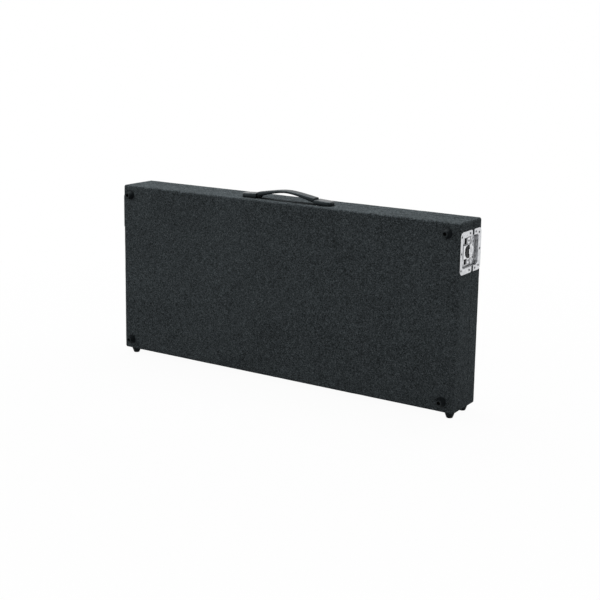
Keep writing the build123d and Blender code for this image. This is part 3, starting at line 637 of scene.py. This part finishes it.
# %% [markdown]
# ## Case carpet
# On the real case a sheet of carpet is glued over each half and folded over its rim. At the four
# corners the sheet is cut and butted, which leaves a fine crease, and glued felt is never quite flat.
# A box is enough of a start: its closed edges are bevelled round, its open side is inset and opened,
# the long faces are subdivided so that a Displace modifier can make the felt a little uneven, and
# Solidify gives the sheet its thickness inwards. A cloth simulation would not add anything, because
# the carpet is stuck down everywhere. The first cell below makes the unevenness, the next finds where
# the latch recesses open the carpet, and the third makes one sheet.

# %% Unevenness of glued felt
def uneven(piece, depth, grain, name):
    """Sinks the surface by up to depth, in lumps of about the grain's size."""
    lumps = bpy.data.textures.new(name, "CLOUDS")
    lumps.noise_scale = grain
    lumps.noise_depth = 1
    step = piece.modifiers.new("uneven", "DISPLACE")
    step.texture = lumps
    step.texture_coords = "LOCAL"
    step.mid_level = 1.0
    step.strength = depth
    apply(piece, step)


# %% Openings for the latches
tray_flange_low, tray_flange_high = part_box("base_dish_right")
lid_flange_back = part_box("lid_dish_right")[1].y
flange_over_end = 12.5 * MM
flange_over_tray = 8.5 * MM
flange_over_lid = 14 * MM
opening_z = (tray_flange_low.z + flange_over_end, tray_flange_high.z - flange_over_end)
opening_y = (tray_flange_low.y + flange_over_tray, lid_flange_back - flange_over_lid)
end_zone = 505 * MM
print("latch openings:", [round(v, 4) for v in opening_z + opening_y])


def open_for_latches(shell, rim_side):
    """Cuts the end walls open where the latch recesses go, and the rim with them."""
    stop_y = opening_y[0] if rim_side > 0 else opening_y[1]
    for spot, way in (
        ((0, 0, opening_z[0]), (0, 0, 1)),
        ((0, 0, opening_z[1]), (0, 0, 1)),
        ((0, stop_y, 0), (0, 1, 0)),
    ):
        choose(shell, "FACE", lambda middle, normal: abs(middle.x) > end_zone)
        bpy.ops.mesh.bisect(plane_co=spot, plane_no=way)
        leave_edit()
    delete_faces(
        shell,
        lambda middle, normal: abs(middle.x) > end_zone
        and opening_z[0] < middle.z < opening_z[1]
        and (middle.y - stop_y) * rim_side > 0,
    )


# %% One carpet shell
carpet_thickness = 3 * MM
outer_round = 6 * MM
rim_round = 2 * MM
board_and_carpet = 12 * MM
crease_width = 0.7 * MM
crease_depth = 0.8 * MM
crease_zone = 0.2 * MM    # how near a point lies to a corner's crease
felt_step = 5 * MM
swell_depth, swell_grain = 0.5 * MM, 45 * MM
lump_depth, lump_grain = 0.35 * MM, 13 * MM


def square_inner_corners(shell, low, high, rim_y):
    """The inset is deeper than the outer corners are round, so its corner points are drawn to one."""
    reach = Vector((board_and_carpet, 0, board_and_carpet))
    for x, way_x in ((low.x + reach.x, 1), (high.x - reach.x, -1)):
        for z, way_z in ((low.z + reach.z, 1), (high.z - reach.z, -1)):
            choose(
                shell,
                "VERT",
                lambda spot, normal: abs(spot.y - rim_y) < touch
                and -crease_zone < (x - spot.x) * way_x < outer_round + crease_zone
                and -crease_zone < (z - spot.z) * way_z < outer_round + crease_zone,
            )
            bpy.ops.transform.resize(value=(0, 0, 0), center_override=(x, rim_y, z))
            bpy.ops.mesh.remove_doubles(threshold=touch)
            leave_edit()


def carpet_shell(name, node, rim_side):
    """The sheet over one half of the case; rim_side is 1 where its rim faces +Y and -1 for -Y."""
    low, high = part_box(node)
    rim_y = high.y if rim_side > 0 else low.y
    shell = block(name, low, high)
    round_edges(shell, outer_round, 6, lambda middle, way: abs(middle.y - rim_y) > MM)
    sunk = outer_round * (1 - math.sqrt(0.5))
    corners = [(x, z) for x in (low.x + sunk, high.x - sunk) for z in (low.z + sunk, high.z - sunk)]

    def on_corner(spot):
        return any(math.hypot(spot.x - x, spot.z - z) < crease_zone for x, z in corners)

    round_edges(shell, crease_width, 2, lambda middle, way: on_corner(middle) and abs(way.y) > 0.99)
    round_edges(shell, rim_round, 4, lambda middle, way: abs(middle.y - rim_y) < touch)
    choose(shell, "FACE", lambda middle, normal: normal.y * rim_side > 0.999)
    bpy.ops.mesh.inset(thickness=board_and_carpet - rim_round, depth=0)
    bpy.ops.mesh.delete(type="FACE")
    leave_edit()
    square_inner_corners(shell, low, high, rim_y)
    for axis in (x_axis, y_axis, z_axis):
        cut_rows(shell, axis, felt_step)
    open_for_latches(shell, rim_side)
    crease_to = rim_y - rim_side * 3 * rim_round
    for x, z in corners:
        choose(
            shell,
            "VERT",
            lambda spot, normal: math.hypot(spot.x - x, spot.z - z) < crease_zone
            and (spot.y - crease_to) * rim_side < 0,
        )
        inwards = Vector((-x, 0, 0)).normalized() + Vector((0, 0, low.z + high.z - 2 * z)).normalized()
        bpy.ops.transform.translate(value=inwards * crease_depth * math.sqrt(0.5))
        leave_edit()
    uneven(shell, swell_depth, swell_grain, name + " swell")
    uneven(shell, lump_depth, lump_grain, name + " lumps")
    sheet = shell.modifiers.new("sheet", "SOLIDIFY")
    sheet.thickness = carpet_thickness
    sheet.offset = -1
    apply(shell, sheet)
    return shell


# %% Both carpets
for name, node, rim_side, body in (
    ("tray_felt", "base_carpet", 1, "base"),
    ("lid_felt", "lid_carpet", -1, "lid"),
):
    felt = smooth(carpet_shell(name, node, rim_side), 60)
    finish_piece(felt, case_carpet, node, body)
    print(name, "faces:", len(felt.data.polygons), "size:", [round(v, 4) for v in felt.dimensions])

# %% [markdown]
# ## Rubber feet and their screws
# A foot is a moulded rubber cone with a flange at its seat, a worn flat tip and a deep pocket for its
# screw. It is round, so one is turned standing on the origin: the rings give its radius and height in
# millimetres, first up the outside, then down into the pocket. The screw is turned in the same way,
# and a cross is cut into its head by two crossed wedges. Both are then copied onto the case. Each
# foot's tip takes the worn rubber as a second material, and the screws stop at different turns.

# %% One foot and one foot screw
foot_rings = (
    (12.5, 0.0), (12.9, 0.12), (13.0, 0.5), (13.0, 1.1), (12.8, 1.42), (12.4, 1.75), (11.6, 3.9),
    (8.5, 12.2), (8.1, 13.2), (7.85, 13.75), (7.5, 14.2), (7.0, 14.43), (6.4, 14.5), (5.3, 14.5),
    (4.9, 14.4), (4.65, 14.1), (4.6, 13.6), (4.6, 6.0), (4.3, 5.6), (3.8, 5.5), (0.3, 5.5),
)
foot = smooth(turned("foot", foot_rings, 56), 50)

screw_rings = (
    (0.2, -10.5), (2.0, -6.5), (2.0, 5.5), (4.2, 5.5), (4.4, 5.65), (4.4, 6.3), (4.2, 6.5), (3.3, 6.5),
    (3.28, 6.9), (3.05, 7.6), (2.55, 8.15), (1.8, 8.5), (0.9, 8.67), (0.2, 8.7),
)
foot_screw = turned("foot_screw", screw_rings, 32)
screw_top = screw_rings[-1][1] * MM
wedge_taper = 0.35


def cross_wedge(top, depth, half_length, half_width):
    """Two crossed tapered blocks, as a cross-head driver leaves them."""
    wedges = []
    for half in (Vector((half_length, half_width, depth)), Vector((half_width, half_length, depth))):
        wedge = block("wedge", -half, half)
        choose(wedge, "FACE", lambda middle, normal: normal.z < -0.9)
        bpy.ops.transform.resize(value=(wedge_taper, wedge_taper, 1), center_override=(0, 0, -depth))
        leave_edit()
        wedge.data.transform(Matrix.Translation((0, 0, top)))
        wedges.append(wedge)
    return cut(wedges[0], wedges[1], "UNION")


cut(foot_screw, cross_wedge(screw_top, depth=1.5 * MM, half_length=1.9 * MM, half_width=0.5 * MM))
smooth(foot_screw, 35)
print("foot faces:", len(foot.data.polygons), "screw faces:", len(foot_screw.data.polygons))

# %% Feet and screws on the case
out_of_face, out_of_edge = Vector((0, -1, 0)), Vector((0, 0, -1))
case_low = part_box("base_carpet")[0]
worn_depth = 0.3 * MM
first_turn, next_turn = 23, 41


def seat_of(centre, on_face):
    """Where a foot or its screw stands on the case, and which way it points out of it."""
    if on_face:
        return (centre.x, case_low.y, centre.z), out_of_face
    return (centre.x, centre.y, case_low.z), out_of_edge


foot_bodies = {"face_foot": "base", "base_edge_foot": "base", "lid_edge_foot": "lid"}
for kind, body in foot_bodies.items():
    for node in sorted(name for name in frame["nodes"] if name.startswith(kind)):
        low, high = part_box(node)
        seat, outward = seat_of((low + high) / 2, kind == "face_foot")
        copy = stood(foot, "rubber_" + node, seat, outward)
        finish_piece(copy, foot_rubber, node, body)
        copy.data.materials.append(worn_rubber)
        tip = max(point.co.dot(outward) for point in copy.data.vertices)
        for face in copy.data.polygons:
            face.material_index = int(face.center.dot(outward) > tip - worn_depth)

for node, body in (("base_foot_screws", "base"), ("lid_foot_screws", "lid")):
    copies = []
    for number, (low, high) in enumerate(boxes_of_solids(node)):
        seat, outward = seat_of((low + high) / 2, high.y - low.y > high.z - low.z)
        turn = math.radians(first_turn + next_turn * number)
        copies.append(stood(foot_screw, f"{node}_{number}", seat, outward, turn))
    screws = joined(node.replace("foot_screws", "cross_head_screws"), copies)
    finish_piece(screws, black_screw, node, body)
    print(screws.name, len(screws.data.polygons))
bpy.data.objects.remove(foot, do_unlink=True)
bpy.data.objects.remove(foot_screw, do_unlink=True)

# %% [markdown]
# ## Recessed butterfly latches
# Each latch is a pressed dish in two halves with a housing, a sliding hook, a turning disc and a
# folding wing on the tray's half, and a keeper on the lid's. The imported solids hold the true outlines,
# so their copies only get rolled edges, which is where bright metal catches the light. At the housing's
# mouth the walls end in thin tips, where two roundings leave vertices that are merged again. The wing
# is different: its face is stamped with ridges round the disc's axis for the fingertip. Those are half
# sunk rings, trimmed to the wing and joined to it with a Boolean.

# %% Pressed parts of the right-hand latch
sharp_angle = math.radians(30)


def pressed(node, name, edge, segments=2, splits=()):
    """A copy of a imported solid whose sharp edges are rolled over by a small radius."""
    piece = clean_copy(node, name, splits)
    step = piece.modifiers.new("rolled edge", "BEVEL")
    step.limit_method = "ANGLE"
    step.angle_limit = sharp_angle
    step.width = edge
    step.segments = segments
    step.use_clamp_overlap = False
    apply(piece, step)
    return smooth(piece, 32)


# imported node: (name of the new piece, radius of its edges in mm, steps of the radius, body)
latch_parts = {
    "base_dish": ("tray_half_dish", 0.45, 3, "base"),
    "lid_dish": ("lid_half_dish", 0.45, 3, "lid"),
    "latch_plate": ("hook_housing", 0.18, 2, "base"),
    "latch_hook": ("hook", 0.15, 2, "hook"),
    "keeper": ("keeper_lozenge", 0.3, 2, "lid"),
    "latch_rotor": ("turning_disc", 0.22, 2, "rotor"),
}
hole_nodes = {
    "base_dish": "base_dish_screws",
    "lid_dish": "lid_dish_screws",
    "latch_plate": "plate_rivets",
    "keeper": "keeper_rivets",
}
latch_pieces = {}
for node, (name, edge, segments, body) in latch_parts.items():
    heights = set()
    if node in hole_nodes:
        boxes = boxes_of_solids(hole_nodes[node])
        heights = {round((low.z + high.z) / 2, 5) for low, high in boxes if low.x > 0}
    piece = pressed(node + "_right", name + "_right", edge * MM, segments, splits=sorted(heights))
    latch_pieces[node] = piece
    print(name, len(piece.data.polygons), "splits:", len(heights))

# %% Tips of the housing's mouth
housing_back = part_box("latch_plate_right")[0].x
tips_from_y = 18.6 * MM
tip_gap = 0.1 * MM
housing = latch_pieces["latch_plate"]
choose(housing, "VERT", lambda spot, normal: spot.x < housing_back + touch and spot.y > tips_from_y)
bpy.ops.mesh.remove_doubles(threshold=tip_gap)
leave_edit()
print("housing vertices:", len(housing.data.vertices))

# %% Wing with stamped ridges
wing = pressed("latch_wing_right", "butterfly_wing_right", 0.3 * MM)
disc_low, disc_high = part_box("latch_rotor_right")
axis_spot = (disc_low + disc_high) / 2
wing_face = 520.2 * MM
ridge_radii = (7.2 * MM, 10.6 * MM, 14.0 * MM)
ridge_thickness = 0.62 * MM
ridge_sink = 0.12 * MM
trim_y = axis_spot.y + 3.4 * MM
for ridge_radius in ridge_radii:
    select_nothing()
    bpy.ops.mesh.primitive_torus_add(
        major_radius=ridge_radius,
        minor_radius=ridge_thickness,
        major_segments=96,
        minor_segments=12,
        location=(wing_face - ridge_sink, axis_spot.y, axis_spot.z),
        rotation=(0, math.radians(90), 0),
    )
    ridge = settle(bpy.context.object)
    bpy.ops.object.mode_set(mode="EDIT")
    bpy.ops.mesh.select_all(action="SELECT")
    bpy.ops.mesh.bisect(plane_co=(0, trim_y, 0), plane_no=(0, 1, 0), use_fill=True, clear_inner=True)
    leave_edit()
    cut(wing, ridge, "UNION")
smooth(wing, 32)
latch_pieces["latch_wing"] = wing
print("wing faces:", len(wing.data.polygons))

# %% [markdown]
# ### Rivets
# The dish is held by drive rivets with a small dimple in their low heads, and the housing and the
# keeper by shorter ones of the same kind. All have the same head, and each is turned with a shank of
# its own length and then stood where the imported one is. The rings are in millimetres again.

# %% Rivets
head_rings = (
    (1.5, 0.0), (2.35, 0.0), (2.58, 0.08), (2.6, 0.25), (2.4, 0.55), (1.95, 0.78), (1.4, 0.88), (1.05, 0.86),
    (0.85, 0.7), (0.75, 0.45), (0.2, 0.4),
)
head_height = 0.9 * MM
shank_tip, shank_radius, tip_length = 0.9, 1.5, 0.6


def rivet_set(node, name):
    """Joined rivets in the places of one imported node's solids, all facing outwards."""
    copies = []
    for number, (low, high) in enumerate(boxes_of_solids(node)):
        shank = max(high.x - low.x - head_height, MM) / MM
        shank_rings = ((shank_tip, -shank), (shank_radius, tip_length - shank))
        rivet = turned("rivet", shank_rings + head_rings, 24)
        side = 1 if low.x > 0 else -1
        seat_x = (high.x - head_height) if side > 0 else (low.x + head_height)
        seat = (seat_x, (low.y + high.y) / 2, (low.z + high.z) / 2)
        copies.append(stood(rivet, f"{name}_{number}", seat, (side, 0, 0)))
        bpy.data.objects.remove(rivet, do_unlink=True)
    return smooth(joined(name, copies), 40)


for node, name, body in (
    ("base_dish_screws", "tray_dish_rivets", "base"),
    ("lid_dish_screws", "lid_dish_rivets", "lid"),
    ("plate_rivets", "housing_rivets", "base"),
    ("keeper_rivets", "keeper_lozenge_rivets", "lid"),
):
    rivets = rivet_set(node, name)
    finish_piece(rivets, rivet_steel, node, body)
    print(name, len(rivets.data.polygons))

# %% [markdown]
# ### Both latches on their bodies
# The left latch is the mirror image of the right one, and each mirrored copy has its own mesh, its
# faces turned back outwards. The hook, the disc and the wing ride on their own bodies, because the
# wing folds, the disc turns and the hook slides. The disc is near black, as painted shade for the
# shadowed cavity beside the wing, and the dishes take the darker zinc, painted shade for their recess.

# %% Right and left latch
moving = ("hook", "rotor", "wing")
latch_bodies = {node: parts[-1] for node, parts in latch_parts.items()}
latch_bodies["latch_wing"] = "wing"
for node, piece in latch_pieces.items():
    if node == "latch_rotor":
        finish, slot_name = disc_painted_black, "latch_dark"
    else:
        finish, slot_name = (latch_zinc if "dish" in node else bright_zinc), "latch_zinc"
    mirrored = twin(piece, piece.name.replace("right", "left"))
    for side_piece, side_name in ((piece, "right"), (mirrored, "left")):
        body = latch_bodies[node]
        if body in moving:
            body = f"{body}_{side_name}"
        finish_piece(side_piece, finish, f"{node}_{side_name}", body)
print("latch pieces:", 2 * len(latch_pieces))

# %% [markdown]
# ## Strap handle
# The strap is moulded rubber over a spring-steel core. It arches between two hollow end caps, grows
# thicker towards them, and sends a flat tongue into each. It could be a curve with a bevel shape, but
# its thickness changes along its length, so a bar is easier: its long edges are bevelled, it is cut
# into short steps, and every point is then lifted onto the arch, as a sculptor would bend it.

# %% The strap
strap_low, strap_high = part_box("handle_strap")
case_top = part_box("base_carpet")[1].z
strap_middle = (strap_low + strap_high) / 2
grip_reach = 88.5 * MM
grip_edge_round, grip_end_round = 3.3 * MM, 1.3 * MM
step_along, step_across = 3.5 * MM, 4 * MM
grip_width = strap_high.y - strap_low.y
grip_thickness = 7.3 * MM
grip_swell = 5.0 * MM
grip_lean = 3.5 * MM
grip_crown = 0.8 * MM
crown_power = 2.5
arch_rise = strap_high.z - case_top
arch_depth, arch_bend = 0.189, 0.33


def arch_height(share):
    """Top of the strap above the case, share being the part of the grip's reach from its middle."""
    return arch_rise * (1 - arch_depth * (math.sqrt(1 + (share / arch_bend) ** 2) - 1))


half_size = Vector((grip_reach, grip_width / 2, 0))
strap = block("carry_strap", -half_size, half_size + Vector((0, 0, grip_thickness)))
grip_end = grip_reach - 0.1 * MM
round_edges(strap, grip_edge_round, 8, lambda middle, way: abs(way.x) > 0.99)
round_edges(strap, grip_end_round, 4, lambda middle, way: abs(middle.x) > grip_end and abs(way.x) < 0.1)
cut_rows(strap, x_axis, step_along)
cut_rows(strap, y_axis, step_across)
for vertex in strap.data.vertices:
    share = vertex.co.x / grip_reach
    up = vertex.co.z / grip_thickness
    thickness = grip_thickness + grip_swell * share**2
    crown = grip_crown * abs(vertex.co.y / half_size.y) ** crown_power * up
    vertex.co.x += strap_middle.x - grip_lean * (1 - up) * share
    vertex.co.y += strap_middle.y
    vertex.co.z = case_top + arch_height(share) - (1 - up) * thickness - crown

# %% Tongues into the caps
tongue_start, tongue_flat, tongue_end = 82.5 * MM, 100 * MM, 127 * MM
tongue_low, tongue_high = 0.5 * MM, 5.5 * MM
tongue_half = half_size.y - 0.5 * MM
tongue_round = 0.8 * MM
tongue_climb, tongue_step = 5 * MM, 5 * MM
for way in (1, -1):
    near, far = sorted((way * tongue_start, way * tongue_end))
    tongue = block("tongue", (near, -tongue_half, tongue_low), (far, tongue_half, tongue_high))
    cut_rows(tongue, x_axis, tongue_step)
    soften(tongue, tongue_round, 2)
    for vertex in tongue.data.vertices:
        rise = max(0.0, (tongue_flat - abs(vertex.co.x)) / (tongue_flat - tongue_start))
        vertex.co += Vector((strap_middle.x, strap_middle.y, case_top + tongue_climb * rise))
    cut(strap, tongue, "UNION")
smooth(strap, 45)
finish_piece(strap, strap_rubber, "handle_strap", "base")
print("strap faces:", len(strap.data.polygons), "size:", [round(v, 4) for v in strap.dimensions])

# %% [markdown]
# ### End caps
# The caps are smooth hollow mouldings, lower at their round outer ends and open where the strap goes
# in. A block is lowered at its outer end, its upright outer edges and then its upper edges are
# rounded, the bottom and the mouth are opened, and Solidify gives the wall. The bolts are out of
# sight under them.

# %% The caps
cap_low, cap_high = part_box("handle_cap_right")
cap_drop = 2.7 * MM
cap_plan_round = 12.9 * MM
cap_upper_round = 3.6 * MM
cap_upper_zone = 4 * MM
cap_wall = 2.4 * MM
cap_lip = 0.3 * MM
right_cap = block("end_cap_right", cap_low, cap_high)
cap_outer = cap_high.x - MM
choose(right_cap, "EDGE", lambda middle, way: middle.x > cap_outer and middle.z > cap_high.z - MM)
bpy.ops.transform.translate(value=(0, 0, -cap_drop))
leave_edit()
round_edges(right_cap, cap_plan_round, 14, lambda middle, way: middle.x > cap_outer and abs(way.z) > 0.99)
round_edges(
    right_cap,
    cap_upper_round,
    6,
    lambda middle, way: middle.z > cap_high.z - cap_upper_zone
    and middle.x > cap_low.x + 0.1 * MM
    and abs(way.z) < 0.9,
)
delete_faces(right_cap, lambda middle, normal: normal.z < -0.9 or normal.x < -0.9)
wall = right_cap.modifiers.new("wall", "SOLIDIFY")
wall.thickness = cap_wall
wall.offset = -1
apply(right_cap, wall)
soften(right_cap, cap_lip, 2, 60)
smooth(right_cap, 40)
left_cap = twin(right_cap, "end_cap_left")
left_cap.data.transform(Matrix.Translation((2 * strap_middle.x, 0, 0)))
for cap, side_name in ((right_cap, "right"), (left_cap, "left")):
    finish_piece(cap, cap_plastic, f"handle_cap_{side_name}", "base")
    print(cap.name, len(cap.data.polygons), [round(v, 4) for v in cap.dimensions])

# %% [markdown]
# ## Inside the case
# The lid is lined with a die-cut foam pad, and the deck is covered with a carpet whose edges are cut
# clean round the cable slots. Both are glued down flat, so there is nothing to simulate: the pad is a
# rounded block whose free edges are pressed soft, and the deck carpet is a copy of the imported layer
# with its cut edges rolled, as pile rolls over a cut.

# %% Foam pad and deck carpet
foam_low, foam_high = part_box("lid_foam")
foam_corner, foam_edge = 12 * MM, 3 * MM
pile_roll = 0.9 * MM
foam_pad = block("foam_pad", foam_low, foam_high, corner=foam_corner, along=y_axis, segments=8)
round_edges(foam_pad, foam_edge, 5, lambda middle, way: abs(middle.y - foam_low.y) < touch)
smooth(foam_pad, 50)
finish_piece(foam_pad, foam, "lid_foam", "lid")

deck_cover = pressed("deck_carpet", "deck_cover", pile_roll, 3)
finish_piece(deck_cover, deck_loop, "deck_carpet", "base")
print("foam faces:", len(foam_pad.data.polygons), "deck cover faces:", len(deck_cover.data.polygons))

# %% [markdown]
# ## Room, light and camera
# A broad soft light from above, one from the left and a weak one from the right stand for a product
# table. The floor and the world look white to the camera, to glossy rays and to rays through clear
# material, and stay dimmer for everything else, so that white surroundings add little light to the
# object. Near the object the floor glows a little less, so that the object's shadow shows on it.

# %% Floor and surroundings
def seen_directly(tree):
    """One for rays that come from the camera, from a glossy surface or through clear material."""
    rays = add_node(tree, "LightPath", {}).outputs
    seen = rays["Is Camera Ray"]
    for other in ("Is Transmission Ray", "Is Glossy Ray"):
        either = add_node(tree, "Math", {0: seen, 1: rays[other]}, operation="MAXIMUM")
        seen = either.outputs["Value"]
    return seen


floor_size = 60
floor_grey = 0.45
near_glow, far_glow = 0.96, 1.0
glow_from, glow_to = 0.7, 1.8
dim_sky = 0.40
select_nothing()
bpy.ops.mesh.primitive_plane_add(size=floor_size, location=(0, 0, 0))
floor = bpy.context.object
floor.name = "floor"
floor_finish, floor_tree, floor_shader = new_finish("floor white")
floor_shader.inputs["Base Color"].default_value = (floor_grey, floor_grey, floor_grey, 1)
floor_shader.inputs["Roughness"].default_value = 0.9
floor_glow = add_node(floor_tree, "Emission", {"Strength": 1.0})
away = add_node(floor_tree, "VectorMath", {0: place(floor_tree)}, operation="LENGTH")
glow_share = grey_ramp(floor_tree, away.outputs["Value"], near_glow, far_glow, glow_from, glow_to)
direct_share = add_node(floor_tree, "Math", {1: glow_share}, operation="MULTIPLY")
link(floor_tree, seen_directly(floor_tree), direct_share, 0)
floor_blend = add_node(floor_tree, "MixShader", {"Fac": direct_share.outputs["Value"]})
link(floor_tree, floor_shader.outputs["BSDF"], floor_blend, 1)
link(floor_tree, floor_glow.outputs["Emission"], floor_blend, 2)
link(floor_tree, floor_blend.outputs["Shader"], floor_tree.nodes["Material Output"], "Surface")
dress(floor, floor_finish)

world = bpy.data.worlds.new("surroundings")
bpy.context.scene.world = world
world.use_nodes = True
sky = world.node_tree
background = sky.nodes["Background"]
background.inputs["Color"].default_value = (1, 1, 1, 1)
sky_strength = grey_ramp(sky, seen_directly(sky), dim_sky, 1.0)
link(sky, sky_strength, background, "Strength")
bpy.context.scene.view_settings.view_transform = "Standard"


def soft_light(name, spot, aim, size, power):
    """A rectangular lamp at a spot in metres, turned to its aim; its power is in watts."""
    lamp = bpy.data.lights.new(name, "AREA")
    lamp.shape = "RECTANGLE"
    lamp.size, lamp.size_y = size
    lamp.energy = power
    obj = bpy.data.objects.new(name, lamp)
    bpy.context.scene.collection.objects.link(obj)
    obj.location = spot
    obj.rotation_euler = (Vector(aim) - Vector(spot)).to_track_quat("-Z", "Y").to_euler()
    print(name, power, "W")


soft_light("overhead light", (-0.3, 0.6, 3.0), aim=(0, 0, 0.3), size=(3.2, 2.4), power=152)
soft_light("left light", (-2.6, -2.2, 1.8), aim=(0, 0, 0.25), size=(1.8, 1.8), power=28)
soft_light("right light", (3.0, -0.6, 1.6), aim=(0.4, 0, 0.3), size=(1.6, 1.6), power=9)

# %% [markdown]
# ### Camera
# The camera stands in front of the case and to the right of it, and looks down a little. Its three
# axes are given as unit vectors, which is plainer than angles when a view leans slightly. The shift
# puts the case above the middle of the view without tilting the camera.

# %% Camera
view = bpy.data.cameras.new("camera")
camera = bpy.data.objects.new("camera", view)
bpy.context.scene.collection.objects.link(camera)
bpy.context.scene.camera = camera
camera_right = Vector((0.8390004, 0.5439221, 0.0150708))
camera_up = Vector((-0.1126971, 0.1466058, 0.9827544))
camera_back = Vector((0.5323323, -0.8262298, 0.1843005))
camera_turn = Matrix((camera_right, camera_up, camera_back)).transposed().to_4x4()
camera_spot = Vector((1.713669, -2.601104, 0.962520))
camera.matrix_world = Matrix.Translation(camera_spot) @ camera_turn
view.sensor_width = 36
view.lens = 72.413
view.shift_y = -0.1
view.clip_start = 0.05
view.clip_end = 60
print("camera at", [round(v, 3) for v in camera.location])
